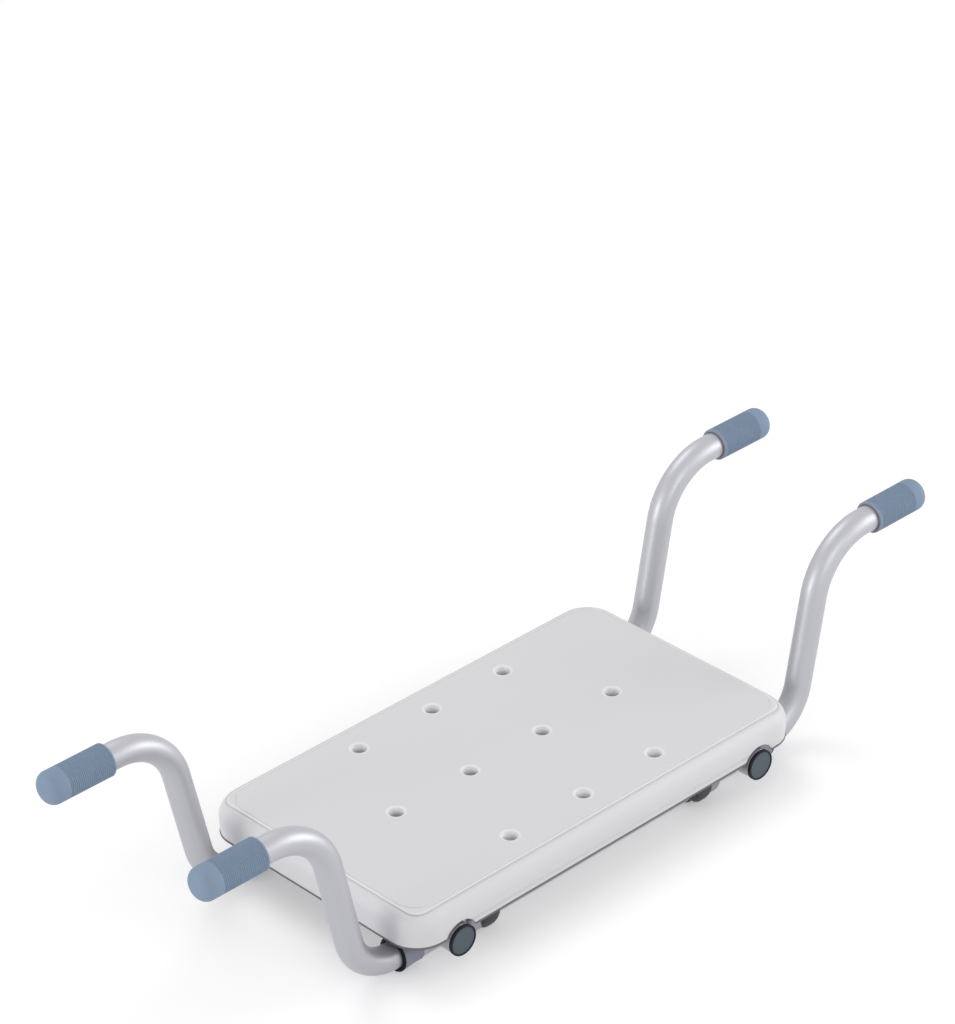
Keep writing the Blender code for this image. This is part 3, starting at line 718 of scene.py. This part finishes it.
def mark_painted_shading(board):
    """Gives each point of the board its painted shade or painted highlight."""
    centres = [(x + number * HOLE_PITCH, y) for x, y, count in hole_rows() for number in range(count)]
    values = []
    for vertex in board.data.vertices:
        x, y, z = vertex.co
        away = min(math.hypot(x - cx, y - cy) for cx, cy in centres)
        at_wall = abs(x) > board_high.x - FOOT_REACH or abs(y) > board_high.y - FOOT_REACH
        if away < HOLE_RING_R + 2 * HOLE_RING_FLARE:
            values.append(hole_painted_shading(away, TOP_Z - z))
        # a painted shade line along the foot of the wall
        elif at_wall and z < SKIRT_Z + FOOT_LINE:
            values.append(FOOT_PAINTED_SHADE)
        else:
            values.append(crease_painted_shading(x, y, z))
    layer = board.data.attributes.new(PAINTED_SHADING, "FLOAT", "POINT")
    layer.data.foreach_set("value", values)


def level_top(board):
    """Points on the edge of the flat top get its own normal, so that no shade runs across it."""
    mesh = board.data
    level = set()
    for polygon in mesh.polygons:
        if polygon.normal.z > LEVEL_NORMAL and polygon.center.z > TOP_Z - 2 * SLACK:
            level.update(polygon.vertices)
    normals = [corner.vector.copy() for corner in mesh.corner_normals]
    for loop in mesh.loops:
        if loop.vertex_index in level and normals[loop.index].z > UPWARD_NORMAL:
            normals[loop.index] = AXIS_Z
    mesh.normals_split_custom_set(normals)


def hole_rows():
    """(first hole's x, row's y, number of holes) for each row."""
    rows = []
    for line in (-1, 0, 1):
        count = HOLES_IN_MIDDLE_ROW - abs(line)
        rows.append((-(count - 1) / 2 * HOLE_PITCH, line * HOLE_ROW_SPACING, count))
    return rows


def board_rings():
    """Levels of the shell, from the middle of its top over the wall and the lip to the inside."""
    rings = [board_ring(0, TOP_Z, shrink=share) for share in TOP_SHARES]
    rings.append(board_ring(-TOP_INSET, TOP_Z))
    for along, depth in arc(-EDGE_STEP_INSET, 0, EDGE_STEP, 90, 0):
        rings.append(board_ring(along, TOP_Z - EDGE_STEP + depth))
    rings += [shoulder_ring(degrees) for degrees in SHOULDER_DEGREES]
    bulge_z = TOP_Z - BULGE_DEPTH
    lip_top = SKIRT_Z + LIP_HEIGHT
    for step in range(WALL_STEPS + 1):
        share = step / WALL_STEPS
        rings.append(board_ring(WALL_OUT - FOOT_INSET * (1 - math.cos(math.pi * share)) / 2,
                                bulge_z - (bulge_z - lip_top) * share))
    rings.insert(-1, board_ring(WALL_OUT - FOOT_INSET, lip_top + LIP_NECK))
    rings += [board_ring(WALL_OUT - share * FOOT_INSET, lip_top - depth) for share, depth in LIP_FLARE]
    inner = WALL_OUT - WALL
    lip = arc(WALL_OUT - LIP_ROUND, 0, LIP_ROUND, 0, -90) + arc(inner + LIP_ROUND, 0, LIP_ROUND, -90, -180)
    rings += [board_ring(along, SKIRT_Z + LIP_ROUND + depth) for along, depth in lip]
    rings.append(board_ring((inner + INNER_TOP) / 2, (SKIRT_Z + TOP_Z - EDGE_RADIUS) / 2))
    for along, rise in arc(INNER_TOP - INNER_FILLET, 0, INNER_FILLET, 0, 90):
        rings.append(board_ring(along, UNDERSIDE_Z - INNER_FILLET + rise))
    return rings


def make_board():
    board = skin("seat_board_shell", board_rings())
    into_plate = UNDERSIDE_Z + PLATE / 4
    rib_bottom = UNDERSIDE_Z - RIB_DEPTH
    rib_x = TOP_HALF_X + INNER_TOP + RIB_BITE
    rib_y = TOP_HALF_Y + INNER_TOP + RIB_BITE
    half = RIB_WIDTH / 2
    long_rib = block("long_rib", (-rib_x, -half, rib_bottom), (rib_x, half, into_plate))
    cross_rib = block("cross_rib", (-half, -rib_y, rib_bottom + CROSS_RIB_STEP), (half, rib_y, into_plate))
    first = (-(CROSS_RIB_COUNT - 1) / 2 * CROSS_RIB_PITCH, 0, 0)
    additions = [pair("long_ribs", long_rib, LONG_RIB_SPACING / 2 * AXIS_Y, BOARD),
                 row("cross_ribs", cross_rib, CROSS_RIB_COUNT, first, (CROSS_RIB_PITCH, 0, 0), BOARD)]
    cutters = []
    half_block = CROSS_R + BLOCK_SIDE
    reach = SCREW_Y + BLOCK_WIDTH
    for sx in (-1, 1):
        x = sx * CROSS_X
        centre = (x, 0, CROSS_Z)
        post = block("block", (x - half_block, -BLOCK_WIDTH / 2, SKIRT_Z),
                     (x + half_block, BLOCK_WIDTH / 2, into_plate))
        additions.append(pair(f"blocks_{sx}", post, SCREW_Y * AXIS_Y, BOARD))
        cutters.append(rod(f"channel_{sx}", -reach, reach, CROSS_R + SEAT_GAP, centre, AXIS_Y, TUBE_SIDES))
        depth = screw_high.z + SCREW_HOLE_SPARE - CROSS_Z
        screw_hole = rod("screw_hole", 0, depth, SCREW_HOLE_R, centre, AXIS_Z)
        cutters.append(pair(f"screw_holes_{sx}", screw_hole, SCREW_Y * AXIS_Y, BOARD))
    arch = [(-3 * WALL, NOTCH_R)] + arc(-NOTCH_RIM, NOTCH_R + NOTCH_RIM, NOTCH_RIM, -90, -10)
    arch.append((2 * WALL, NOTCH_R + NOTCH_RIM))
    wall_y = board_high.y - FOOT_INSET / 2
    for name, (sx, sy) in CORNERS.items():
        cutters.append(turn("notch_" + name, arch, (sx * CROSS_X, sy * wall_y, CROSS_Z), sy * AXIS_Y))
    # the bore is ringed at the depths where the painted light in a hole gives way to painted shade
    painted_shading_depths = (HOLE_DARK_DEPTH, (HOLE_DARK_DEPTH + HOLE_LIGHT_DEPTH) / 2, HOLE_LIGHT_DEPTH)
    mouth = [(rib_bottom - PLATE - TOP_Z, HOLE_R)] + [(-depth, HOLE_R) for depth in painted_shading_depths]
    mouth += arc(-HOLE_RIM - HOLE_RING_DEPTH, HOLE_R + HOLE_RIM, HOLE_RIM, -90, -10)
    mouth += [(-HOLE_RING_DEPTH, HOLE_RING_R), (PLATE, HOLE_RING_R + HOLE_RING_FLARE)]
    for number, (x, y, count) in enumerate(hole_rows()):
        spout = rod("spout", rib_bottom, UNDERSIDE_Z + PLATE / 2, HOLE_R + SPOUT_WALL, (0, 0, 0), AXIS_Z)
        additions.append(row(f"spouts_{number}", spout, count, (x, y, 0), (HOLE_PITCH, 0, 0), BOARD))
        drain = turn("drain", mouth, (0, 0, TOP_Z), AXIS_Z, SMALL_SIDES)
        cutters.append(row(f"drains_{number}", drain, count, (x, y, 0), (HOLE_PITCH, 0, 0), BOARD))
    carve(board, cutters, additions)
    mark_painted_shading(board)
    smooth(dress(board, BOARD), 32)
    level_top(board)
    place(board, "frame", "board_plastic", "seat_board")


# Tubes

def straight_tube(name, start, end, radius, wall):
    """A straight tube with slightly rounded ends, open at both."""
    start, end = Vector(start), Vector(end)
    length = (end - start).length
    edge = wall * TUBE_EDGE
    bore = radius - wall
    outline = [(edge + (length - 2 * edge) * i / TUBE_STEPS, radius) for i in range(TUBE_STEPS + 1)]
    outline += [(length, radius - edge), (length, bore + edge), (length - edge, bore), (edge, bore)]
    outline += [(0, bore + edge), (0, radius - edge)]
    return turn(name, outline, start, (end - start).normalized(), TUBE_SIDES, looped=True)


def weld_bead(name, x, y):
    """Rippled bead round the line where a cross tube lies in a rail."""
    low, high = CROSS_Z - CROSS_R, RAIL_Z + RAIL_R
    shape = bmesh.new()
    points = []
    for step in range(WELD_STEPS):
        angle = 2 * math.pi * (step + 0.5) / WELD_STEPS
        level = (high + low) / 2 + (high - low) / 2 * math.cos(2 * angle)
        along = math.sqrt(max(CROSS_R ** 2 - (level - CROSS_Z) ** 2, 0))
        across = math.sqrt(max(RAIL_R ** 2 - (level - RAIL_Z) ** 2, 0))
        points.append(shape.verts.new((x + math.copysign(along, math.cos(angle)),
                                       y + math.copysign(across, math.sin(angle)), level)))
    for first, second in zip(points, points[1:] + points[:1]):
        shape.edges.new((first, second))
    path = piece_of("weld_path", shape)
    half_drop = [(WELD_PITCH, WELD_TIP_R)]
    half_drop += [(along * WELD_PITCH, size * WELD_R) for along, size in WELD_DROP]
    outline = [(-along, radius) for along, radius in half_drop] + [(0, WELD_R)] + half_drop[::-1]
    drop = turn("weld_drop", outline, (0, 0, 0), AXIS_Z, WELD_SIDES)
    length = sum((a.co - b.co).length for a, b in zip(path.data.vertices, path.data.vertices[1:]))
    bead = grow(name, WELDS, Path=path, Drop=drop, Count=round(length / WELD_PITCH), Material=ALUMINIUM)
    bpy.data.objects.remove(path)
    bpy.data.objects.remove(drop)
    return bead


def make_cross_tubes():
    reach = 2 * CROSS_R
    for side, sx in (("left", -1), ("right", 1)):
        x = sx * CROSS_X
        tube = straight_tube("cross_tube_" + side + "_drawn", (x, -CROSS_END, CROSS_Z),
                             (x, CROSS_END, CROSS_Z), CROSS_R, CROSS_WALL)
        saddle = rod("saddle", -reach, reach, RAIL_R + SEAT_GAP, (x, 0, RAIL_Z), AXIS_X, TUBE_SIDES)
        hole = rod("hole", -reach, reach, SCREW_HOLE_R, (x, 0, CROSS_Z), AXIS_Z)
        carve(tube, [pair("saddles", saddle, RAIL_Y * AXIS_Y, ALUMINIUM),
                     pair("holes", hole, SCREW_Y * AXIS_Y, ALUMINIUM)])
        beads = [weld_bead("weld", x, sy * RAIL_Y) for sy in (-1, 1)]
        whole = join("cross_tube_" + side + "_welded", [dress(tube, ALUMINIUM)] + beads)
        place(smooth(whole, 40), "frame", "satin_aluminium", "cross_tube_" + side)


def pin_hole(radius, y, sy):
    """Cutter for a locking pin's hole in the outer side of a tube."""
    return rod("hole", radius / 2, 2 * radius, PIN_HOLE_R, (0, y, RAIL_Z), sy * AXIS_Y)


def make_rails():
    for side, sy in (("front", -1), ("rear", 1)):
        y = sy * RAIL_Y
        rail = straight_tube("rail_" + side + "_drawn", (-RAIL_END, y, RAIL_Z), (RAIL_END, y, RAIL_Z),
                             RAIL_R, RAIL_WALL)
        carve(rail, [pair("holes", pin_hole(RAIL_R, y, sy), PIN_X * AXIS_X, ALUMINIUM)])
        smooth(dress(rail, ALUMINIUM), 40)
        place(rail, "frame", "satin_aluminium", "rail_" + side)


def arm_stations():
    """Stations (x, z, heading) on an arm's centre line, for an arm on the right."""
    turn_angle = math.pi / 2 - ARM_LEAN
    start = collar_high.x + ARM_STUB
    stations = [(arm_low.x + (start - arm_low.x) * step / STRAIGHT_STEPS, RAIL_Z, 0.0)
                for step in range(STRAIGHT_STEPS)]
    for step in range(BEND_STEPS + 1):
        angle = turn_angle * step / BEND_STEPS
        stations.append((start + LOWER_BEND_RADIUS * math.sin(angle),
                         RAIL_Z + LOWER_BEND_RADIUS * (1 - math.cos(angle)), angle))
    foot_x, foot_z, _ = stations[-1]
    rise = GRIP_Z - UPPER_BEND_RADIUS * (1 - math.cos(turn_angle)) - foot_z
    run = rise / math.tan(turn_angle)
    for step in range(1, LEG_STEPS):
        share = step / LEG_STEPS
        stations.append((foot_x + run * share, foot_z + rise * share, turn_angle))
    for step in range(BEND_STEPS + 1):
        angle = turn_angle * (1 - step / BEND_STEPS)
        stations.append((foot_x + run + UPPER_BEND_RADIUS * (math.sin(turn_angle) - math.sin(angle)),
                         GRIP_Z - UPPER_BEND_RADIUS * (1 - math.cos(angle)), angle))
    bend_end = stations[-1][0]
    for step in range(1, STRAIGHT_STEPS + 1):
        stations.append((bend_end + (arm_high.x - bend_end) * step / STRAIGHT_STEPS, GRIP_Z, 0.0))
    return stations


def arm_ring(station, radius, sx, y):
    x, z, heading = station
    ring = []
    for i in range(TUBE_SIDES):
        angle = 2 * math.pi * i / TUBE_SIDES
        out = radius * math.sin(angle)
        ring.append((sx * (x - out * math.sin(heading)), y + radius * math.cos(angle),
                     z + out * math.cos(heading)))
    return ring


def make_arm(name, sx, sy):
    y = sy * RAIL_Y
    stations = arm_stations()
    rings = [arm_ring(station, ARM_R, sx, y) for station in stations]
    rings += [arm_ring(station, ARM_R - ARM_WALL, sx, y) for station in reversed(stations)]
    arm = skin("arm_" + name + "_bent", rings, looped=True)
    carve(arm, [row("holes", pin_hole(ARM_R, y, sy), PIN_HOLE_COUNT, (sx * PIN_X, 0, 0),
                    (-sx * PIN_HOLE_PITCH, 0, 0), ALUMINIUM)])
    smooth(dress(arm, ALUMINIUM), 40)
    place(arm, "arm_unit_" + name, "satin_aluminium", "arm_" + name)


def make_grip(name, sx):
    low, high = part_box("grip_" + name)
    y = (low.y + high.y) / 2
    inner_x = low.x if sx > 0 else high.x
    length = high.x - low.x
    bore = ARM_R + SEAT_GAP
    ribbed_end = length - GRIP_SMOOTH_END
    outline = [(length - GRIP_END_WALL, bore), (BEVEL, bore), (0, bore + BEVEL)]
    outline += arc(GRIP_MOUTH_ROUND, GRIP_R - GRIP_MOUTH_ROUND, GRIP_MOUTH_ROUND, 180, 90)
    mouth_bands = len(outline) - 1
    outline += [(GRIP_BAND + along, GRIP_R - depth) for along, depth in GRIP_STEP]
    outline += [(ribbed_end - along, GRIP_R - depth) for along, depth in reversed(GRIP_STEP)]
    end_r = GRIP_R - GRIP_END_RADIUS
    outline += arc(length - GRIP_END_RADIUS, end_r, GRIP_END_RADIUS, 90, 4, 10)
    outline += [(length, end_r - GRIP_FACE_RIM), (length, GRIP_FACE_MIDDLE)]
    bands = [1] * mouth_bands + [0] * (len(outline) - 1 - mouth_bands)
    body = dress(turn("grip_body", outline, (inner_x, y, GRIP_Z), sx * AXIS_X, bands=bands), RUBBER, COLLAR)
    stretch = ribbed_end - GRIP_BAND
    count = int(stretch / RIB_PITCH)
    pitch = stretch / count
    first = (inner_x + sx * (GRIP_BAND + pitch / 2), y, GRIP_Z)
    ribs = grow("ribs", RIBS, Ribs=count, First_Rib=first, Pitch=(sx * pitch, 0, 0), Crest_Radius=GRIP_R,
                Thickness=RIB_THICKNESS, Sides=RIB_SIDES, Material=RUBBER)
    grip = join("grip_" + name + "_ribbed", [body, ribs])
    place(smooth(grip, 50), "arm_unit_" + name, "grip_rubber", "grip_" + name)


# Fittings on the frame

def make_end_cap(name, sx, sy):
    low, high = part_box("end_cap_" + name)
    face = max(abs(low.y), abs(high.y)) - CROSS_END
    plug_r = CROSS_R - CROSS_WALL - SEAT_GAP
    inside = CAP_R - CAP_RIM_WIDTH
    floor = face - CAP_RECESS
    lead_length, lead_depth = CAP_LEAD
    outline = [(-CAP_PLUG, plug_r - CAP_PLUG_WALL), (-CAP_PLUG, plug_r - lead_depth),
               (lead_length - CAP_PLUG, plug_r), (SEAT_GAP, plug_r), (SEAT_GAP, CAP_R - BEVEL),
               (SEAT_GAP + BEVEL, CAP_R)]
    outline += arc(face - CAP_EDGE, CAP_R - CAP_EDGE, CAP_EDGE, 90, 0)
    outline += [(face, inside + BEVEL), (face - 0.1 * MM, inside), (floor, inside - 0.15 * MM)]
    rim_bands = len(outline) - 1
    outline += [(floor, inside - 0.4 * MM), (floor + 0.25 * MM, CAP_R / 2), (floor + 0.3 * MM, 1 * MM)]
    bands = [0] * rim_bands + [1] * (len(outline) - rim_bands - 1)
    cap = turn("end_cap_" + name + "_turned", outline, (sx * CROSS_X, sy * CROSS_END, CROSS_Z), sy * AXIS_Y,
               bands=bands)
    for polygon in cap.data.polygons:
        if len(polygon.vertices) == ROUND_SIDES and abs(polygon.center.y) > CROSS_END:
            polygon.material_index = 1
    smooth(dress(cap, CAP_RIM, CAP_FACE), 35)
    place(cap, "frame", "dark_cap_plastic", "end_cap_" + name)


def make_collar(name, sx, sy):
    """Tapered bush on the end of a rail, with a black wiper ring in its mouth."""
    low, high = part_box("rail_collar_" + name)
    length = high.x - low.x
    tail = RAIL_R + COLLAR_TAIL_WALL
    mouth = ARM_R + SEAT_GAP
    seat = RAIL_R + SEAT_GAP
    shoulder = length - WIPER_WIDTH
    groove = COLLAR_R - WIPER_GROOVE
    outline = [(0, seat), (0, tail - BEVEL), (BEVEL, tail)]
    for step in range(1, WAIST_STEPS + 1):
        share = step / WAIST_STEPS
        flare = (COLLAR_R - 0.1 * MM - tail) * share ** COLLAR_FLARE
        hollow = COLLAR_HOLLOW * math.sin(math.pi * share)
        outline.append((share * (shoulder - COLLAR_LIP), tail + flare - hollow))
    outline += [(shoulder - BEVEL, COLLAR_R - 0.15 * MM), (shoulder - 0.1 * MM, groove)]
    body_bands = len(outline) - 1
    outline += [(shoulder + 0.1 * MM, groove), (shoulder + BEVEL, COLLAR_R - 0.05 * MM),
                (length - 0.6 * MM, COLLAR_R), (length - 0.15 * MM, COLLAR_R - 0.3 * MM),
                (length, COLLAR_R - 0.8 * MM), (length, mouth + 0.5 * MM), (length - 0.4 * MM, mouth),
                (shoulder, mouth)]
    ring_bands = len(outline) - 1 - body_bands
    outline.append((shoulder, seat))
    bands = [0] * body_bands + [1] * ring_bands + [0] * 2
    start = (sx * (abs(collar_high.x) - length), sy * RAIL_Y, RAIL_Z)
    collar = turn("rail_collar_" + name + "_turned", outline, start, sx * AXIS_X, looped=True, bands=bands)
    smooth(dress(collar, COLLAR, WIPER), 30)
    place(collar, "frame", "collar_plastic", "rail_collar_" + name)


def oblong_ring(x, z, length, width, growth, y):
    half = (length - width) / 2
    radius = width / 2 + growth
    ring = []
    for end in (1, -1):
        for step in range(OBLONG_STEPS + 1):
            angle = math.pi * (step / OBLONG_STEPS - 0.5)
            ring.append((x + end * (half + radius * math.cos(angle)), y, z + end * radius * math.sin(angle)))
    return ring


def domed(foot, top, crown, degrees, steps, inset):
    """Levels (height, growth) of an oblong from its foot over a rounded crown to its face."""
    levels = [(foot, 0)]
    levels += [(top - crown + rise, along - crown) for along, rise in arc(crown, 0, crown, 0, degrees, steps)]
    return levels + [(top, -crown - inset)]


def make_catch(name, sx, sy):
    """Housing round the rail: a dark lobe with the push button in a bezel, and a light lobe over the pin."""
    low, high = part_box("catch_housing_" + name)
    button_low, button_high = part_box("push_button_" + name)
    button_x = (button_low.x + button_high.x) / 2
    inner_x = low.x if sx > 0 else high.x
    y = sy * RAIL_Y
    length = high.x - low.x
    face = max(abs(low.y), abs(high.y)) - RAIL_Y
    ring_r = (high.z - low.z) / 2
    bore_r = RAIL_R + SEAT_GAP
    start, axis = (inner_x, y, RAIL_Z), sx * AXIS_X
    edge_r = ring_r - CATCH_EDGE
    outline = [(0, bore_r)] + arc(CATCH_EDGE, edge_r, CATCH_EDGE, 180, 90) + [(DARK_LENGTH, ring_r)]
    dark_bands = len(outline) - 1
    outline += arc(length - CATCH_EDGE, edge_r, CATCH_EDGE, 90, 0) + [(length, bore_r)]
    bands = [1] * dark_bands + [0] * (len(outline) - dark_bands)
    sleeve = turn("sleeve", outline, start, axis, TUBE_SIDES, looped=True, bands=bands)

    def oblong(label, x, size, levels, looped=False):
        """Oblong skinned over levels of (height above the rail's axis, growth)."""
        rings = [oblong_ring(x, RAIL_Z, *size, growth, y + sy * height) for height, growth in levels]
        return skin(label, rings, looped)

    def lobe(inner, outer, width, top, crown, *holes):
        levels = domed(0, top, crown, 75, 8, 0.6 * MM)
        whole = oblong("lobe", inner_x + sx * (inner + outer) / 2, (outer - inner, width), levels)
        return carve(whole, [rod("bore", -length, 2 * length, bore_r, start, axis, TUBE_SIDES), *holes])

    over_rail = RAIL_R + BUTTON_OVER_RAIL
    pocket = oblong("pocket", button_x, BUTTON_SIZE, [(over_rail, BEZEL), (face + 2 * MM, BEZEL)])
    dark_lobe = dress(lobe(LOBE_INSET, DARK_LENGTH, DARK_WIDTH, face, DARK_CROWN, pocket), BUTTON)
    light_lobe = dress(lobe(DARK_LENGTH - LOBE_LAP, length - LIGHT_INSET, LIGHT_WIDTH, face - LIGHT_DROP,
                            LIGHT_CROWN), HOUSING)
    bezel_foot = over_rail + 0.5 * MM
    bezel_side = BEZEL - 0.05 * MM
    surround = oblong("bezel", button_x, BUTTON_SIZE, [
        (bezel_foot, bezel_side), (face - 0.6 * MM, bezel_side), (face - 0.25 * MM, BEZEL - 0.3 * MM),
        (face - 0.4 * MM, 0.35 * MM), (face - 0.9 * MM, 0.2 * MM), (bezel_foot, 0.2 * MM)], looped=True)
    whole = join("catch_housing_" + name + "_fitted",
                 [dress(sleeve, HOUSING, BUTTON), dark_lobe, light_lobe, dress(surround, WIPER)])
    place(smooth(whole, 35), "frame", "collar_plastic", "catch_housing_" + name)

    foot, proud = sorted(abs(side.y) - RAIL_Y for side in (button_low, button_high))
    button = oblong("push_button_" + name + "_moulded", button_x, BUTTON_SIZE,
                    domed(foot, proud, BUTTON_DOME, 80, 10, 1 * MM))
    smooth(dress(button, BUTTON), 40)
    place(button, "button_" + name, "button_plastic", "push_button_" + name)


def screw_outline():
    """(height, radius) pairs from the middle of the domed head over the thread to the point."""
    length = screw_high.z - screw_low.z
    outline = list(SCREW_DOME)
    outline += [(SCREW_HEAD - 0.2 * MM, SCREW_HEAD_R), (SCREW_HEAD, SCREW_HEAD_R - 0.2 * MM),
                (SCREW_HEAD, SCREW_SHANK_R)]
    for number in range(int((length - SCREW_HEAD - THREAD_SPARE) / THREAD_PITCH)):
        foot = SCREW_HEAD + THREAD_START + number * THREAD_PITCH
        outline += [(foot + along, SCREW_SHANK_R - depth) for along, depth in THREAD]
    return outline + [(length - 1.2 * MM, SCREW_SHANK_R - 0.5 * MM), (length, 0.8 * MM)]


def make_screws():
    """Domed screws with a cross recess and their washers, two rows of two."""
    washer_r = (washer_high.x - washer_low.x) / 2
    thick = washer_high.z - washer_low.z
    plate = [(0, SCREW_HOLE_R), (0, washer_r - WASHER_EDGE), (WASHER_EDGE, washer_r),
             (thick - WASHER_EDGE, washer_r), (thick, washer_r - WASHER_EDGE), (thick, SCREW_HOLE_R)]
    screws = []
    washers = []
    for sx in (-1, 1):
        x = sx * CROSS_X
        screw = turn("screw", screw_outline(), (x, 0, screw_low.z), AXIS_Z, SMALL_SIDES)
        carve(screw, [block("slot", (x - half_x, -half_y, screw_low.z - MM),
                            (x + half_x, half_y, screw_low.z + RECESS_DEPTH))
                      for half_x, half_y in (RECESS_HALF, RECESS_HALF[::-1])])
        screws.append(pair(f"screws_{sx}", dress(screw, STEEL), SCREW_Y * AXIS_Y, STEEL))
        washer = turn("washer", plate, (x, 0, washer_low.z), AXIS_Z, SMALL_SIDES, looped=True)
        washers.append(pair(f"washers_{sx}", washer, SCREW_Y * AXIS_Y, STEEL))
    for label, made, node in (("board_screws", screws, "screw_"), ("screw_washers", washers, "washer_")):
        whole = smooth(join(label, made), 35)
        place(whole, "frame", "zinc_steel", *(node + name for name in CORNERS))


def dress_solids():
    """Finishes for the hidden solids that are kept as they are."""
    for name in CORNERS:
        dress(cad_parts["catch_spring_" + name], STEEL)
        dress(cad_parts["arm_bush_" + name], COLLAR)


# Stage

PHOTO_WIDTH, PHOTO_HEIGHT = 955, 1024
CAMERA_AZIMUTH = math.radians(-43.235)
CAMERA_ELEVATION = math.radians(30.649)
CAMERA_ROLL = math.radians(-1.352)
CAMERA_DISTANCE = 3.2397
CAMERA_SIDE = -0.0197         # how far the camera stands to the right of the line to the board's middle
CAMERA_RAISE = 0.1796
CAMERA_REACH = 60
FOCAL_PIXELS = 4061.9
CENTRE_X, CENTRE_Y = 481.7, 525.0
SENSOR_MM = 36.0
FLOOR_HALF = 14.0
FLOOR_DROP = 0.4 * MM         # below the object's feet
FLOOR_GLOW = 0.3
SKY_LIGHT = 0.675
LAMP_TARGET = Vector((0, 0, 0.08))
LAMPS = {                     # place, width and watts
    "rear_top": ((0.15, 1.55, 2.5), 1.6, 13.5),
    "right_front": ((2.4, -1.6, 0.85), 2.0, 28),
    "left_low": ((-2.9, 0.4, 0.5), 1.4, 23),
    "front": ((-0.4, -2.6, 1.4), 1.4, 10),
}


def make_camera():
    back = Vector((math.sin(CAMERA_AZIMUTH) * math.cos(CAMERA_ELEVATION),
                   -math.cos(CAMERA_AZIMUTH) * math.cos(CAMERA_ELEVATION), math.sin(CAMERA_ELEVATION)))
    right = Vector((math.cos(CAMERA_AZIMUTH), math.sin(CAMERA_AZIMUTH), 0))
    up = back.cross(right)
    level = math.cos(CAMERA_ROLL) * right + math.sin(CAMERA_ROLL) * up
    upright = -math.sin(CAMERA_ROLL) * right + math.cos(CAMERA_ROLL) * up
    lens = bpy.data.cameras.new("camera")
    longest = max(PHOTO_WIDTH, PHOTO_HEIGHT)
    lens.sensor_width = SENSOR_MM
    lens.lens = FOCAL_PIXELS / longest * SENSOR_MM
    lens.shift_x = (PHOTO_WIDTH / 2 - CENTRE_X) / longest
    lens.shift_y = (CENTRE_Y - PHOTO_HEIGHT / 2) / longest
    lens.clip_end = CAMERA_REACH
    camera = bpy.data.objects.new("camera", lens)
    spot = Vector((0, 0, TOP_Z)) + back * CAMERA_DISTANCE + level * CAMERA_SIDE + upright * CAMERA_RAISE
    camera.matrix_world = Matrix.Translation(spot) @ Matrix((level, upright, back)).transposed().to_4x4()
    bpy.context.scene.collection.objects.link(camera)
    bpy.context.scene.camera = camera


def make_floor():
    shape = bmesh.new()
    shape.faces.new([shape.verts.new((sx * FLOOR_HALF, sy * FLOOR_HALF, -FLOOR_DROP))
                     for sx, sy in ((-1, -1), (1, -1), (1, 1), (-1, 1))])
    floor = piece_of("floor", shape)
    finish = Finish("pale_floor", (0.78, 0.78, 0.79), 0.9)
    finish.set("Specular IOR Level", 0.0)
    seen = direct_view(finish)
    cloud = finish.noise(finish.coords(), 3, 2)
    finish.set("Base Color", finish.tint(cloud, (0.77, 0.77, 0.78), (0.80, 0.80, 0.80)))
    glow = finish.node("ShaderNodeEmission", {}, {"Color": (1, 1, 1, 1), "Strength": seen * FLOOR_GLOW})
    total = finish.node("ShaderNodeAddShader", {}, {0: Value(finish, finish.shader.outputs[0]), 1: glow})
    finish.feed(finish.tree.nodes["Material Output"].inputs["Surface"], total)
    dress(floor, finish.material)


def direct_view(finish):
    """1 for rays from the camera and for those that a shiny or clear surface sends on."""
    rays = finish.tree.nodes.new("ShaderNodeLightPath")
    camera, glossy, clear = (Value(finish, rays.outputs[f"Is {kind} Ray"])
                             for kind in ("Camera", "Glossy", "Transmission"))
    return finish.node("ShaderNodeMath", {"operation": "MINIMUM"}, {0: camera + glossy + clear, 1: 1.0})


class Sky(Finish):
    """The world's light: white where it is seen, softer where it lights."""

    def __init__(self, light):
        world = bpy.data.worlds.new("studio")
        world.use_nodes = True
        bpy.context.scene.world = world
        self.tree = world.node_tree
        ground = self.tree.nodes["Background"]
        self.feed(ground.inputs["Color"], (1, 1, 1, 1))
        self.feed(ground.inputs["Strength"], light + direct_view(self) * (1 - light))


def make_lamp(name, spot, size, watts):
    light = bpy.data.lights.new(name, "AREA")
    light.shape = "DISK"
    light.size = size
    light.energy = watts
    lamp = bpy.data.objects.new(name, light)
    aim = (LAMP_TARGET - Vector(spot)).to_track_quat("-Z", "Y")
    lamp.matrix_world = Matrix.Translation(spot) @ aim.to_matrix().to_4x4()
    bpy.context.scene.collection.objects.link(lamp)


def make_stage():
    make_camera()
    make_floor()
    Sky(SKY_LIGHT)
    for name, settings in LAMPS.items():
        make_lamp(name, *settings)
    bpy.context.scene.view_settings.view_transform = "Standard"


make_board()
make_cross_tubes()
make_rails()
for corner_name, (side_x, side_y) in CORNERS.items():
    make_arm(corner_name, side_x, side_y)
    make_grip(corner_name, side_x)
    make_end_cap(corner_name, side_x, side_y)
    make_collar(corner_name, side_x, side_y)
    make_catch(corner_name, side_x, side_y)
make_screws()
dress_solids()
make_stage()
